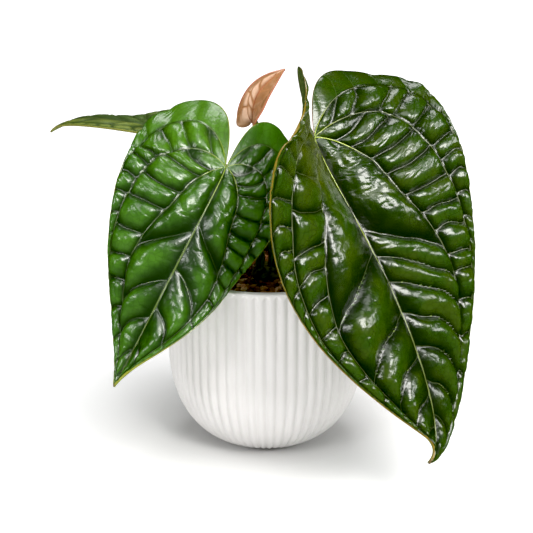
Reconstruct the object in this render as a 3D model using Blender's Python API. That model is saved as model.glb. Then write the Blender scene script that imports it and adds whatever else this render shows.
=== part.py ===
"""Potted anthurium hybrid: four puckered heart-shaped leaves on stalks, rooted in a bark mix
in a thin black nursery pot, which stands in a ribbed white cover pot.

Metres, +Z up. The origin is the middle of the cover pot's foot, on the surface it stands on.
The front of the plant, where the two large blades hang, looks along -Y.
"""

import math

import bmesh
import bpy
import numpy as np
from mathutils import Vector

# Cover pot
POT_RADIUS = 0.0702
POT_HEIGHT = 0.132
POT_FOOT_RADIUS = 0.027
POT_BOWL_HEIGHT = 0.064
POT_WALL = 0.0042
POT_FLOOR = 0.0105
POT_FLOOR_RADIUS = 0.0440
RIB_COUNT = 60
RIB_DEPTH = 0.0013
RIB_PHASES = (0.0, 0.3, 0.7)
RIB_RINGS = ((22, 0.6), (44, 1.0), (66, 1.0), (90, 1.0))
RIB_END = 0.0050
RIM_BAND = 0.0035
RIM_EDGE = 0.0007
LINING_RINGS = (90, 66, 44)

# Nursery pot inside it
NURSERY_TOP = 0.1275
NURSERY_TOP_RADIUS = 0.0625
NURSERY_FOOT_RADIUS = 0.0425
NURSERY_WALL = 0.0012
NURSERY_LIP = 0.0024
NURSERY_LIP_HEIGHT = 0.0030
NURSERY_SIDES = 48
DRAIN_HOLES = 6
DRAIN_RADIUS = 0.0040
DRAIN_CIRCLE = 0.030

# Potting mix and crown
MIX_TOP = 0.1185
MIX_MOUND = 0.0012
MIX_WAVE = 0.0009
MIX_WAVE_TURNS = (210, 250)
MIX_RIPPLE = 0.0012
MIX_RIPPLE_TURNS = (520, 380, 300, 460)
MIX_RINGS = (0.97, 0.87, 0.76, 0.64, 0.52, 0.40, 0.29)
CROWN_RADIUS = 0.0112
CROWN_FOOT = 0.088
CROWN_TOP = 0.1275
CROWN_RINGS = ((0.80, CROWN_FOOT), (1.0, CROWN_FOOT + 0.006), (1.0, MIX_TOP), (0.98, CROWN_TOP - 0.0045),
               (0.85, CROWN_TOP - 0.0015), (0.55, CROWN_TOP))
CROWN_SIDES = 24
HOLE_SIDES = 16
SOCKET_DEPTH = 0.0085

# What touches keeps this much air
GAP = 0.0003

# Blades
BLADE = 0.0009
STRIP_EDGES = (0.0, 0.31, 0.56, 0.80, 1.0)
STRIP_CELLS = (11, 14, 17, 20)
PUFF = 0.18
CALM_ALONG = (0.40, 0.62)
CALM_SHARE = (0.30, 1.0)
FAN = 1.2
FOLD_STATIONS = (-0.3, 0.0, 0.4, 1.0)
LOBE_REACH = 0.3
CURL_REACH = 0.35
STRAIGHT = 1e-7

# Outline of a blade, for evenly spaced steps from the sinus round the lobe to the tip:
# angle from the midrib in degrees, distance of the margin from the stalk over the length,
# and place along the midrib where that step's vein leaves it, over the length
OUTLINE = (
    (172, 0.000, 0.000), (169, 0.110, 0.020), (163, 0.220, 0.040), (152, 0.310, 0.065),
    (136, 0.370, 0.095), (116, 0.385, 0.130), (95, 0.375, 0.180), (75, 0.385, 0.240),
    (56, 0.430, 0.320), (40, 0.500, 0.420), (27, 0.600, 0.550), (16, 0.720, 0.690),
    (7, 0.850, 0.830), (2, 0.945, 0.940), (0, 1.000, 1.000),
)

# Each leaf: the midrib's control points from stalk to tip, the way its upper side faces there,
# and for each half its width, lobe length, and fold and curl in degrees at FOLD_STATIONS.
# A fold or curl lifts the half towards the upper side; back bends the lobe out of the blade.
# Left and right are the halves as seen from the upper side with the tip hanging down.
LEAVES = {
    "right": dict(
        midrib=((0.031, -0.045, 0.232), (0.048, -0.059, 0.187), (0.087, -0.109, 0.161),
                (0.127, -0.088, 0.033), (0.103, -0.137, 0.043)),
        face=((0.35, -0.92, 0.19), (0.30, -0.95, 0.00)),
        left=dict(width=1.09, lobe=0.93, fold=(77, 70, 44, 21), curl=(-6, -15, -35, -9), back=31),
        right=dict(width=1.10, lobe=0.68, fold=(-30, 3, -11, -36), curl=(-38, -21, -9, -30), back=-28),
        steps=48, columns=(3, 3, 2, 2), cells=1.0, puff=1.0,
    ),
    "left": dict(
        midrib=((-0.027, -0.040, 0.210), (-0.032, -0.053, 0.197), (-0.057, -0.096, 0.167),
                (-0.082, -0.086, 0.106), (-0.099, -0.107, 0.082)),
        face=((0.02, -0.90, 0.43), (-0.39, -0.88, 0.26)),
        left=dict(width=1.07, lobe=1.30, fold=(-8, 5, -1, -20), curl=(-22, -26, -7, -22), back=-19),
        right=dict(width=0.80, lobe=1.17, fold=(-17, 1, -18, 42), curl=(-26, -26, -27, -10), back=-14),
        steps=40, columns=(3, 3, 2, 2), cells=0.85, puff=1.0,
    ),
    "rear": dict(
        midrib=((-0.059, 0.079, 0.203), (-0.095, 0.075, 0.206), (-0.136, 0.068, 0.229),
                (-0.161, 0.084, 0.202)),
        face=((0.0, 0.16, 0.94), (0.0, 0.19, 0.94)),
        left=dict(width=0.95, lobe=0.75, fold=(-3, 23, 9, -1), curl=(-6, -5, -8, -9), back=0),
        right=dict(width=0.95, lobe=0.75, fold=(0, 4, -2, -16), curl=(-5, -10, -10, -11), back=0),
        steps=30, columns=(3, 2, 2, 2), cells=0.7, puff=0.7,
    ),
    "new": dict(
        midrib=((-0.010, 0.012, 0.2285), (-0.009, 0.009, 0.245), (-0.0075, 0.008, 0.2525),
                (0.0127, 0.012, 0.265)),
        face=((-0.10, -0.95, 0.25), (-0.10, -0.95, 0.25)),
        left=dict(width=0.98, lobe=0.35, fold=(43, 70, 44, 44), curl=(15, 20, 20, 15), back=0),
        right=dict(width=0.66, lobe=0.35, fold=(25, 21, 35, 41), curl=(10, 15, 15, 15), back=0),
        steps=22, columns=(2, 2, 1, 1), cells=0.6, puff=0.35,
    ),
}

# Each stalk: its foot in the crown, the points it bends through, how far it reaches towards
# the blade from behind, and its radius at the foot, the middle and the joint under the blade
STALKS = {
    "right": dict(foot=(0.0052, -0.0018), through=((0.014, 0.012, 0.165), (0.038, 0.012, 0.212)),
                  reach=0.020, seat=0.0009, radii=(0.0034, 0.0026, 0.0031)),
    "left": dict(foot=(-0.0044, -0.0032), through=((-0.007, 0.004, 0.150), (-0.020, 0.002, 0.185)),
                 reach=0.016, seat=0.0009, radii=(0.0030, 0.0023, 0.0028)),
    "rear": dict(foot=(-0.0036, 0.0050), through=((-0.010, 0.022, 0.150), (-0.042, 0.062, 0.172)),
                 reach=0.014, seat=0.0009, radii=(0.0028, 0.0021, 0.0026)),
    "new": dict(foot=(0.0034, 0.0056), through=((0.004, 0.018, 0.155), (-0.006, 0.024, 0.195)),
                reach=0.012, seat=0.0009, radii=(0.0021, 0.0015, 0.0017)),
}
STALK_POINTS = 14
STALK_RISE = 0.016
THICKNESS_STATIONS = (0.0, 0.12, 0.5, 0.86, 1.0)

COLOURS = {
    "matte white glaze": ((0.82, 0.82, 0.80), 0.55),
    "black pot plastic": ((0.012, 0.012, 0.012), 0.45),
    "bark and peat": ((0.022, 0.013, 0.008), 0.90),
    "crown skin": ((0.13, 0.14, 0.04), 0.60),
    "stalk skin": ((0.09, 0.15, 0.03), 0.45),
    "deep green blade": ((0.020, 0.080, 0.014), 0.28),
    "bright green blade": ((0.060, 0.190, 0.020), 0.30),
    "olive blade": ((0.060, 0.100, 0.022), 0.45),
    "copper blade": ((0.420, 0.190, 0.105), 0.40),
}


def clear_scene():
    for thing in list(bpy.data.objects):
        bpy.data.objects.remove(thing, do_unlink=True)


def finish(name):
    """A named finish, made once."""
    found = bpy.data.materials.get(name)
    if found:
        return found
    colour, roughness = COLOURS[name]
    made = bpy.data.materials.new(name)
    made.use_nodes = True
    shader = made.node_tree.nodes["Principled BSDF"]
    shader.inputs["Base Color"].default_value = (*colour, 1.0)
    shader.inputs["Roughness"].default_value = roughness
    shader.inputs["Metallic"].default_value = 0.0
    return made


def add_mesh(name, points, faces, finish_name, sharp_degrees=35):
    """Put points and faces into a new object, shaded smooth but for its sharp edges."""
    mesh = bpy.data.meshes.new(name)
    mesh.from_pydata([tuple(p) for p in points], [], faces)
    mesh.materials.append(finish(finish_name))
    mesh.shade_smooth()
    mesh.set_sharp_from_angle(angle=math.radians(sharp_degrees))
    thing = bpy.data.objects.new(name, mesh)
    bpy.context.collection.objects.link(thing)
    return thing


def ring(radius, height, count):
    """Points evenly round a level circle."""
    turn = np.arange(count) * 2 * math.pi / count
    return np.stack([radius * np.cos(turn), radius * np.sin(turn), np.full(count, height)], axis=-1)


def band(lower, upper, count):
    """Faces between two rings of the same count, facing away from the axis."""
    faces = []
    for i in range(count):
        j = (i + 1) % count
        faces.append((lower + i, lower + j, upper + j, upper + i))
    return faces


def turned(name, profile, count, finish_name):
    """A closed solid turned from (radius, height) pairs, flat between its first and last rings."""
    points = []
    for radius, height in profile:
        points.extend(ring(radius, height, count))
    last = (len(profile) - 1) * count
    faces = [tuple(reversed(range(count))), tuple(range(last, last + count))]
    for k in range(len(profile) - 1):
        faces.extend(band(k * count, (k + 1) * count, count))
    return add_mesh(name, points, faces, finish_name)


def bowl(degrees, inset=0.0):
    """Radius and height on the pot's bowl, a quarter ellipse from the foot up to the plain wall.

    An inset moves the point in from the surface, square to it.
    """
    turn = math.radians(degrees)
    wide = POT_RADIUS - POT_FOOT_RADIUS
    radius = POT_FOOT_RADIUS + wide * math.sin(turn)
    height = POT_BOWL_HEIGHT * (1.0 - math.cos(turn))
    out = Vector((POT_BOWL_HEIGHT * math.sin(turn), -wide * math.cos(turn))).normalized()
    return radius - inset * out.x, height - inset * out.y


def ribbed_ring(radius, height, depth):
    """A ring whose points dip into a groove at each rib's side and bulge in its middle."""
    per_rib = len(RIB_PHASES)
    points = ring(1.0, height, RIB_COUNT * per_rib)
    for i in range(len(points)):
        phase = RIB_PHASES[i % per_rib]
        turn = 2 * math.pi * (i // per_rib + phase) / RIB_COUNT
        out = radius - (depth if phase == 0.0 else 0.0)
        points[i] = (out * math.cos(turn), out * math.sin(turn), height)
    return points


def pot_outside():
    """Ribbed rings from the foot up the bowl and the wall to the plain band of the rim."""
    rings = [(POT_FOOT_RADIUS, 0.0, 0.0)]
    for degrees, share in RIB_RINGS:
        rings.append((*bowl(degrees), RIB_DEPTH * share))
    rings.append((POT_RADIUS, POT_HEIGHT - RIB_END, RIB_DEPTH))
    rings.append((POT_RADIUS, POT_HEIGHT - RIM_BAND, 0.0))
    rings.append((POT_RADIUS, POT_HEIGHT - RIM_EDGE, 0.0))
    return rings


def pot_inside():
    """Plain rings over the rim, down the lining and onto the floor."""
    inner = POT_RADIUS - POT_WALL
    rings = [(POT_RADIUS - RIM_EDGE, POT_HEIGHT), (inner + RIM_EDGE, POT_HEIGHT)]
    rings.append((inner, POT_HEIGHT - RIM_EDGE))
    rings.extend(bowl(degrees, POT_WALL) for degrees in LINING_RINGS)
    rings.append((POT_FLOOR_RADIUS, POT_FLOOR))
    return rings


def make_pot():
    """Cover pot: ribbed outside, plain inside, with a thin smooth rim over the ribs."""
    outside = pot_outside()
    inside = pot_inside()
    per_rib = len(RIB_PHASES)
    count = RIB_COUNT * per_rib
    points = []
    for radius, height, depth in outside:
        points.extend(ribbed_ring(radius, height, depth))
    for radius, height in inside:
        points.extend(ring(radius, height, RIB_COUNT))
    faces = [tuple(reversed(range(count)))]
    for k in range(len(outside) - 1):
        faces.extend(band(k * count, (k + 1) * count, count))
    last = (len(outside) - 1) * count
    first = last + count
    for rib in range(RIB_COUNT):
        here = first + rib
        there = first + (rib + 1) % RIB_COUNT
        low = [last + (rib * per_rib + k) % count for k in range(per_rib + 1)]
        faces.append((low[0], low[1], here))
        faces.append((low[1], low[2], there, here))
        faces.append((low[2], low[3], there))
    for k in range(len(inside) - 1):
        faces.extend(band(first + k * RIB_COUNT, first + (k + 1) * RIB_COUNT, RIB_COUNT))
    floor = first + (len(inside) - 1) * RIB_COUNT
    faces.append(tuple(range(floor, floor + RIB_COUNT)))
    return add_mesh("pot", points, faces, "matte white glaze", sharp_degrees=25)


def nursery_radius(height):
    """Outer radius of the nursery pot's straight tapered wall."""
    foot = POT_FLOOR + GAP
    share = (height - foot) / (NURSERY_TOP - foot)
    return NURSERY_FOOT_RADIUS + (NURSERY_TOP_RADIUS - NURSERY_FOOT_RADIUS) * share


def make_nursery_pot():
    """Thin black pot with a turned-out lip and drain holes, standing in the cover pot."""
    foot = POT_FLOOR + GAP
    floor = foot + NURSERY_WALL
    lip = NURSERY_TOP - NURSERY_LIP_HEIGHT
    profile = [(NURSERY_FOOT_RADIUS, foot), (nursery_radius(lip), lip),
               (NURSERY_TOP_RADIUS + NURSERY_LIP, lip), (NURSERY_TOP_RADIUS + NURSERY_LIP, NURSERY_TOP),
               (nursery_radius(NURSERY_TOP) - NURSERY_WALL, NURSERY_TOP),
               (nursery_radius(floor) - NURSERY_WALL, floor)]
    pot = turned("nursery_pot", profile, NURSERY_SIDES, "black pot plastic")
    for i in range(DRAIN_HOLES):
        turn = 2 * math.pi * i / DRAIN_HOLES
        where = (DRAIN_CIRCLE * math.cos(turn), DRAIN_CIRCLE * math.sin(turn))
        cut(pot, where, DRAIN_RADIUS, foot - NURSERY_WALL, floor + NURSERY_WALL)
    return pot


def cut(thing, where, radius, low, high):
    """Cut an upright round hole into a solid, between two heights."""
    mesh = bpy.data.meshes.new("cutter")
    work = bmesh.new()
    bmesh.ops.create_cone(work, cap_ends=True, segments=HOLE_SIDES, radius1=radius, radius2=radius,
                          depth=high - low)
    work.to_mesh(mesh)
    work.free()
    cutter = bpy.data.objects.new("cutter", mesh)
    bpy.context.collection.objects.link(cutter)
    cutter.location = (*where, 0.5 * (low + high))
    cutter.hide_render = True
    cutter.display_type = "WIRE"
    hole = thing.modifiers.new("hole", "BOOLEAN")
    hole.operation = "DIFFERENCE"
    hole.object = cutter


def mix_height(x, y):
    """Uneven top of the mix: a low mound, with slow waves and a finer ripple laid over it."""
    wave = math.sin(MIX_WAVE_TURNS[0] * x + 1.3) * math.cos(MIX_WAVE_TURNS[1] * y - 0.4)
    a, b, c, d = MIX_RIPPLE_TURNS
    ripple = math.sin(a * x - b * y) * math.cos(c * x + d * y + 0.9)
    mound = math.cos(min(math.hypot(x, y) / NURSERY_TOP_RADIUS, 1.0) * math.pi)
    return MIX_TOP + MIX_MOUND * mound + MIX_WAVE * wave + MIX_RIPPLE * ripple


def make_potting_mix():
    """Bark mix that fills the nursery pot, with a plain hole where the crown stands."""
    floor = POT_FLOOR + GAP + NURSERY_WALL + GAP
    hole = CROWN_RADIUS + GAP
    side_top = MIX_TOP - MIX_MOUND - MIX_WAVE - MIX_RIPPLE
    edge = nursery_radius(side_top) - NURSERY_WALL - GAP
    profile = [(nursery_radius(floor) - NURSERY_WALL - GAP, floor), (edge, side_top)]
    profile.extend((edge * share, MIX_TOP) for share in MIX_RINGS)
    profile.extend([(hole, MIX_TOP), (hole, CROWN_FOOT - GAP)])
    mix = turned("potting_mix", profile, NURSERY_SIDES, "bark and peat")
    uneven = range(2 * NURSERY_SIDES, (2 + len(MIX_RINGS)) * NURSERY_SIDES)
    for k in uneven:
        point = mix.data.vertices[k].co
        point.z = mix_height(point.x, point.y)
    return mix


def make_crown():
    """Short stem base, with a socket for the foot of each stalk."""
    profile = [(share * CROWN_RADIUS, height) for share, height in CROWN_RINGS]
    crown = turned("crown", profile, CROWN_SIDES, "crown skin")
    for stalk in STALKS.values():
        low = CROWN_TOP - SOCKET_DEPTH - GAP
        cut(crown, stalk["foot"], stalk["radii"][0] + GAP, low, CROWN_TOP + SOCKET_DEPTH)
    return crown


def hermite(x, stations, values):
    """Smooth curve through given values at given stations."""
    stations = np.asarray(stations, float)
    values = np.asarray(values, float)
    slopes = np.gradient(values, stations)
    k = np.clip(np.searchsorted(stations, x, side="right") - 1, 0, len(stations) - 2)
    step = stations[k + 1] - stations[k]
    u = (x - stations[k]) / step
    ahead = u * u * (3 - 2 * u)
    leave = u * (1 - u) ** 2 * step * slopes[k]
    arrive = u * u * (u - 1) * step * slopes[k + 1]
    return (1 - ahead) * values[k] + ahead * values[k + 1] + leave + arrive


def bezier(controls, count):
    """Points along the Bezier curve of any number of control points."""
    u = np.linspace(0.0, 1.0, count)[:, None]
    order = len(controls) - 1
    curve = np.zeros((count, 3))
    for k, control in enumerate(controls):
        curve += math.comb(order, k) * u ** k * (1 - u) ** (order - k) * np.asarray(control)
    return curve


def unit(vectors):
    return vectors / np.linalg.norm(vectors, axis=-1, keepdims=True)


def blade_plan(across, along):
    """Flat blade over its length: forward and sideways place of a point.

    across runs from 0 at the midrib to 1 at the margin, along from 0 at the sinus to 1 at the
    tip. Lines of equal across fan out of the stalk as the main veins do.
    """
    knots = np.linspace(0.0, 1.0, len(OUTLINE))
    table = np.array(OUTLINE, float)
    angle = np.radians(hermite(along, knots, table[:, 0]))
    margin = hermite(along, knots, table[:, 1])
    start = hermite(along, knots, table[:, 2])
    ease = np.clip(along / 0.6, 0.0, 1.0)
    power = 1.0 + FAN * ease * ease * (3 - 2 * ease)
    share = 1.0 - (1.0 - across) ** power
    reach = start + (margin - start) * share
    return reach * np.cos(angle * share), reach * np.sin(angle * share)


def blade_frame(leaf, forward):
    """Midrib point, its direction, and the way the blade faces, forward metres from the stalk."""
    curve = bezier(leaf["midrib"], 200)
    run = np.concatenate([[0.0], np.cumsum(np.linalg.norm(np.diff(curve, axis=0), axis=1))])
    ahead = unit(np.gradient(curve, run, axis=0))
    place = np.clip(forward, 0.0, run[-1])
    point = np.stack([np.interp(place, run, curve[:, k]) for k in range(3)], axis=-1)
    tangent = unit(np.stack([np.interp(place, run, ahead[:, k]) for k in range(3)], axis=-1))
    share = (place / run[-1])[..., None]
    base, tip = unit(np.array(leaf["face"], float))
    normal = base * (1 - share) + tip * share
    normal = unit(normal - (normal * tangent).sum(-1, keepdims=True) * tangent)
    return point, tangent, normal, run[-1]


def blade_point(leaf, half, side, across, along):
    """Point and upward normal of the smooth bent blade, before its puckers.

    The midrib is carried on backwards as an arc under each lobe, and each half leaves it along
    an arc of its own, which starts at the fold angle and turns steadily by the curl.
    """
    forward, sideways = blade_plan(across, along)
    length = blade_frame(leaf, np.zeros(1))[3]
    forward = forward * length * np.where(forward < 0, half["lobe"], 1.0)
    sideways = sideways * length * half["width"]
    point, tangent, normal, length = blade_frame(leaf, forward)
    outward = side * np.cross(normal, tangent)
    bend = math.radians(half["back"]) / (LOBE_REACH * length) + STRAIGHT
    turn = -bend * np.minimum(forward, 0.0)[..., None]
    point = point - np.sin(turn) / bend * tangent + (1 - np.cos(turn)) / bend * normal
    normal = np.cos(turn) * normal + np.sin(turn) * tangent
    station = np.clip(forward / length, FOLD_STATIONS[0], FOLD_STATIONS[-1])
    fold = np.radians(hermite(station, FOLD_STATIONS, half["fold"]))
    curl = np.radians(hermite(station, FOLD_STATIONS, half["curl"])) / (CURL_REACH * length) + STRAIGHT
    slope = fold + curl * sideways
    out = (np.sin(slope) - np.sin(fold)) / curl
    lift = (np.cos(fold) - np.cos(slope)) / curl
    point = point + out[..., None] * outward + lift[..., None] * normal
    facing = np.cos(slope)[..., None] * normal - np.sin(slope)[..., None] * outward
    return point, facing


def pillow(share):
    """Height of a pucker over its own span: nothing at its edges, full in the middle."""
    return np.power(np.clip(4 * share * (1 - share), 0.0, 1.0), 0.6)


def plan_gap(across_a, along_a, across_b, along_b):
    """Distance in the flat blade, over its length."""
    ax, ay = blade_plan(across_a, along_a)
    bx, by = blade_plan(across_b, along_b)
    return np.hypot(ax - bx, ay - by)


def cross_veins(leaf, strip):
    """Mesh steps at which a strip's cross veins lie, evenly spaced along its middle line."""
    steps = leaf["steps"]
    along = np.linspace(0.0, 1.0, steps + 1)
    middle = np.full_like(along, 0.5 * (STRIP_EDGES[strip] + STRIP_EDGES[strip + 1]))
    x, y = blade_plan(middle, along)
    run = np.concatenate([[0.0], np.cumsum(np.hypot(np.diff(x), np.diff(y)))])
    count = round(STRIP_CELLS[strip] * leaf["cells"])
    places = np.interp(np.linspace(0.0, run[-1], count + 1), run, np.arange(steps + 1))
    return np.unique(np.rint(places))


def pucker(leaf, across, along):
    """Height of the puckers over the smooth blade.

    The main veins part each half into strips, and cross veins part each strip into cells.
    Next to the midrib the cross veins slant towards the tip, and the blade lies calmer near the
    stalk. Each cell is one pillow, as high as a set share of its shorter side.
    """
    steps = leaf["steps"]
    height = np.zeros_like(across)
    for strip in range(len(STRIP_CELLS)):
        low, high = STRIP_EDGES[strip], STRIP_EDGES[strip + 1]
        share = (across - low) / (high - low)
        inside = (share > 0) & (share < 1)
        slant = leaf["columns"][0] * share if strip == 0 else 0.0 * share
        veins = cross_veins(leaf, strip)
        place = np.clip(along * steps - slant, 0.0, steps - 1e-6)
        k = np.searchsorted(veins, place, side="right") - 1
        start, end = veins[k], veins[k + 1]
        long = plan_gap(across, np.clip((start + slant) / steps, 0, 1),
                        across, np.clip((end + slant) / steps, 0, 1))
        wide = plan_gap(np.full_like(along, low), along, np.full_like(along, high), along)
        rise = PUFF * leaf["puff"] * np.minimum(long, wide)
        if strip == 0:
            rise = rise * np.interp(along, CALM_ALONG, CALM_SHARE)
        height = np.where(inside, rise * pillow(share) * pillow((place - start) / (end - start)), height)
    return height


def blade_columns(leaf):
    """Shares of the way to the margin at which the blade's mesh has a column."""
    columns = [0.0]
    for strip, count in enumerate(leaf["columns"]):
        low, high = STRIP_EDGES[strip], STRIP_EDGES[strip + 1]
        columns.extend(low + (high - low) * (k + 1) / count for k in range(count))
    return np.array(columns)


def blade_sheets(leaf):
    """Upper and lower points of a blade: rows of columns from the left margin to the right one."""
    columns = blade_columns(leaf)
    along = np.arange(1, leaf["steps"]) / leaf["steps"]
    across, along = np.meshgrid(columns, along)
    length = blade_frame(leaf, np.zeros(1))[3]
    height = pucker(leaf, across, along) * length
    left, left_up = blade_point(leaf, leaf["left"], -1, across, along)
    right, right_up = blade_point(leaf, leaf["right"], 1, across, along)
    crease = left_up[:, 0] + right_up[:, 0]
    crease = 2 * crease / (crease ** 2).sum(-1, keepdims=True)
    up = np.concatenate([left_up[:, :0:-1], crease[:, None], right_up[:, 1:]], axis=1)
    middle = np.concatenate([left[:, :0:-1], right], axis=1)
    rise = np.concatenate([height[:, :0:-1], height], axis=1)[..., None]
    return middle + rise * up, middle + (rise - BLADE) * up


def blade_ends(leaf):
    """The stalk's point and the tip, above and below."""
    ends = []
    for along in (0.0, 1.0):
        place = (np.zeros(1), np.full(1, along))
        point, left_up = blade_point(leaf, leaf["left"], -1, *place)
        right_up = blade_point(leaf, leaf["right"], 1, *place)[1]
        crease = left_up + right_up
        crease = 2 * crease / (crease ** 2).sum()
        ends.append((point[0], point[0] - BLADE * crease[0]))
    return ends


def sheet_faces(rows, columns, stalk, tip, first):
    """Triangles of one sheet, all split along the slant of the cross veins, facing up."""
    middle = columns // 2
    faces = []
    for row in range(rows - 1):
        for k in range(columns - 1):
            a = first + row * columns + k
            b, c, d = a + 1, a + columns + 1, a + columns
            if k < middle:
                faces.extend([(a, d, b), (b, d, c)])
            else:
                faces.extend([(a, c, b), (a, d, c)])
    last = first + (rows - 1) * columns
    for k in range(columns - 1):
        faces.append((stalk, first + k, first + k + 1))
        faces.append((tip, last + k + 1, last + k))
    return faces


def make_leaf(name, finish_name):
    """One blade: two like sheets a blade's thickness apart, closed round the margin."""
    leaf = LEAVES[name]
    upper, lower = blade_sheets(leaf)
    rows, columns = upper.shape[:2]
    ends = blade_ends(leaf)
    points = np.concatenate([upper.reshape(-1, 3), [ends[0][0], ends[1][0]],
                             lower.reshape(-1, 3), [ends[0][1], ends[1][1]]])
    sheet = rows * columns
    below = sheet + 2
    top = sheet_faces(rows, columns, sheet, sheet + 1, 0)
    faces = top + [tuple(below + k for k in reversed(face)) for face in top]
    left = [row * columns for row in range(rows)]
    right = [row * columns + columns - 1 for row in range(rows)]
    edge = [sheet] + left + [sheet + 1] + right[::-1]
    for a, b in zip(edge, edge[1:] + edge[:1]):
        faces.append((a, below + a, b))
        faces.append((b, below + a, below + b))
    return add_mesh("leaf_" + name, points, faces, finish_name, sharp_degrees=60)


def make_stalk(name, finish_name):
    """One stalk: upright out of its socket, bent through its points, in behind the blade."""
    stalk = STALKS[name]
    leaf = LEAVES[name]
    foot = np.array([*stalk["foot"], CROWN_TOP - SOCKET_DEPTH])
    mouth = foot + np.array([0.0, 0.0, SOCKET_DEPTH])
    rise = mouth + np.array([0.0, 0.0, STALK_RISE])
    above, below = blade_ends(leaf)[0]
    behind = unit(below - above)
    end = below + behind * stalk["seat"]
    reach = below + behind * stalk["reach"]
    free = bezier([mouth, rise, *stalk["through"], reach, end], STALK_POINTS - 1)
    route = np.concatenate([[foot], free])
    line = bpy.data.curves.new("petiole_" + name, "CURVE")
    line.dimensions = "3D"
    line.bevel_depth = 1.0
    line.bevel_resolution = 2
    line.use_fill_caps = True
    line.materials.append(finish(finish_name))
    spline = line.splines.new("POLY")
    spline.points.add(STALK_POINTS - 1)
    share = np.linspace(0.0, 1.0, STALK_POINTS)
    radius = np.interp(share, THICKNESS_STATIONS, np.take(stalk["radii"], (0, 0, 1, 1, 2)))
    for point, place, thick in zip(spline.points, route, radius):
        point.co = (*place, 1.0)
        point.radius = thick
    thing = bpy.data.objects.new("petiole_" + name, line)
    bpy.context.collection.objects.link(thing)
    return thing


clear_scene()
make_pot()
make_nursery_pot()
make_potting_mix()
make_crown()
for leaf_name, blade_finish in (("right", "deep green blade"), ("left", "bright green blade"),
                                ("rear", "olive blade"), ("new", "copper blade")):
    make_leaf(leaf_name, blade_finish)
    make_stalk(leaf_name, "stalk skin")
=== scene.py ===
import math

import bpy
import numpy as np
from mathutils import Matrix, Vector


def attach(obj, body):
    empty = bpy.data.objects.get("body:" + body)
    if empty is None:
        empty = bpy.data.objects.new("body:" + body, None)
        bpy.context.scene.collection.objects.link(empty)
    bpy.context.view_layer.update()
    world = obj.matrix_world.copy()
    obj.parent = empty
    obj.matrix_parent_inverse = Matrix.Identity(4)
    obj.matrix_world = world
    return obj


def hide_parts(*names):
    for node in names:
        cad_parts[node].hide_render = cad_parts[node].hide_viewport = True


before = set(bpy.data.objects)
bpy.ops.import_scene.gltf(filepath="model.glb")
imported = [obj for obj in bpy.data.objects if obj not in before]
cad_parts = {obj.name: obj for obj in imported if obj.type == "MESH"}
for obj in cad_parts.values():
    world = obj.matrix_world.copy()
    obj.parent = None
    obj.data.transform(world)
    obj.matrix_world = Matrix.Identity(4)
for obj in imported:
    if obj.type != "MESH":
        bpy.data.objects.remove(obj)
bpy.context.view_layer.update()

# Studio
# A pale acrylic light table with five square softboxes round it, the brightest over the plant's
# front right. Room and table are kept out of the gloss, as black cloth round a real table would,
# so that the leaves show the lamps alone. The camera looks down by 20 degrees.

AIM = Vector((0.0, 0.0, 0.126))
CAMERA_DISTANCE = 1.0
CAMERA_TILT = math.radians(20)
LENS_MM = 95.5
SENSOR_MM = 36.0
NEAR_CLIP = 0.05
BLACK_LEVEL = (0.006, 0.006, 0.009)
# Each softbox: its place, width in metres, power in watts and tint
LAMPS = {
    "key": ((1.20, -1.60, 2.00), 1.15, 62.0, "#FFFDFA"),
    "side": ((-1.65, -1.75, 1.45), 0.70, 14.0, "#FFFFFF"),
    "right": ((2.30, -0.70, 1.25), 0.80, 17.0, "#FFFFFF"),
    "top": ((0.25, -0.75, 1.90), 1.20, 11.5, "#FFFFFF"),
    "back": ((0.20, 1.60, 2.40), 0.90, 13.0, "#FFFFFF"),
}
AIR_LIGHT = 0.17
TABLE_HALF = 6.0
# Centre of the painted shadow round the pot, the radius out to which the table doesn't glow, the radius past
# which it glows in full, and that full glow
PAINTED_SHADOW_CENTRE = (0.0, 0.02, 0.0)
PAINTED_SHADOW_CORE = 0.06
PAINTED_SHADOW_EDGE = 0.17
GLOW_POWER = 0.66
WALL_RADIUS = 5.8
WALL_HEIGHT = 5.0
WALL_SIDES = 96

camera_data = bpy.data.cameras.new("camera")
camera_data.lens = LENS_MM
camera_data.sensor_width = SENSOR_MM
camera_data.clip_start = NEAR_CLIP
camera = bpy.data.objects.new("camera", camera_data)
away = Vector((0.0, -math.cos(CAMERA_TILT), math.sin(CAMERA_TILT)))
camera.location = AIM + CAMERA_DISTANCE * away
camera.rotation_euler = (math.pi / 2 - CAMERA_TILT, 0.0, 0.0)
bpy.context.collection.objects.link(camera)
bpy.context.scene.camera = camera
bpy.context.scene.view_settings.view_transform = "Standard"
bpy.context.scene.view_settings.use_curve_mapping = True
bpy.context.scene.view_settings.curve_mapping.black_level = BLACK_LEVEL


def colour(code):
    """sRGB hex to linear RGBA: each channel by the sRGB curve, opaque."""
    channels = [int(code[k:k + 2], 16) / 255 for k in (1, 3, 5)]
    return (*(c / 12.92 if c <= 0.04045 else ((c + 0.055) / 1.055) ** 2.4 for c in channels), 1.0)


def add_node(tree, kind, links=None, values=None, **settings):
    """A shader node with its settings, its plain input values and what its inputs link from."""
    made = tree.nodes.new("ShaderNode" + kind)
    for key, value in settings.items():
        setattr(made, key, value)
    for socket, value in (values or {}).items():
        made.inputs[socket].default_value = value
    for socket, source in (links or {}).items():
        tree.links.new(source, made.inputs[socket])
    return made


def new_finish(name, values):
    """A material with plain values on its Principled shader: the material, its nodes, the shader."""
    made = bpy.data.materials.new(name)
    made.use_nodes = True
    shader = made.node_tree.nodes["Principled BSDF"]
    for socket, value in values.items():
        shader.inputs[socket].default_value = value
    return made, made.node_tree, shader


def softbox(name, where, size, power, tint):
    """A square soft light that faces the plant."""
    data = bpy.data.lights.new(name, "AREA")
    data.shape = "SQUARE"
    data.size = size
    data.energy = power
    data.color = colour(tint)[:3]
    light = bpy.data.objects.new(name, data)
    light.location = where
    light.rotation_euler = (AIM - Vector(where)).to_track_quat("-Z", "Y").to_euler()
    bpy.context.collection.objects.link(light)


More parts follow.
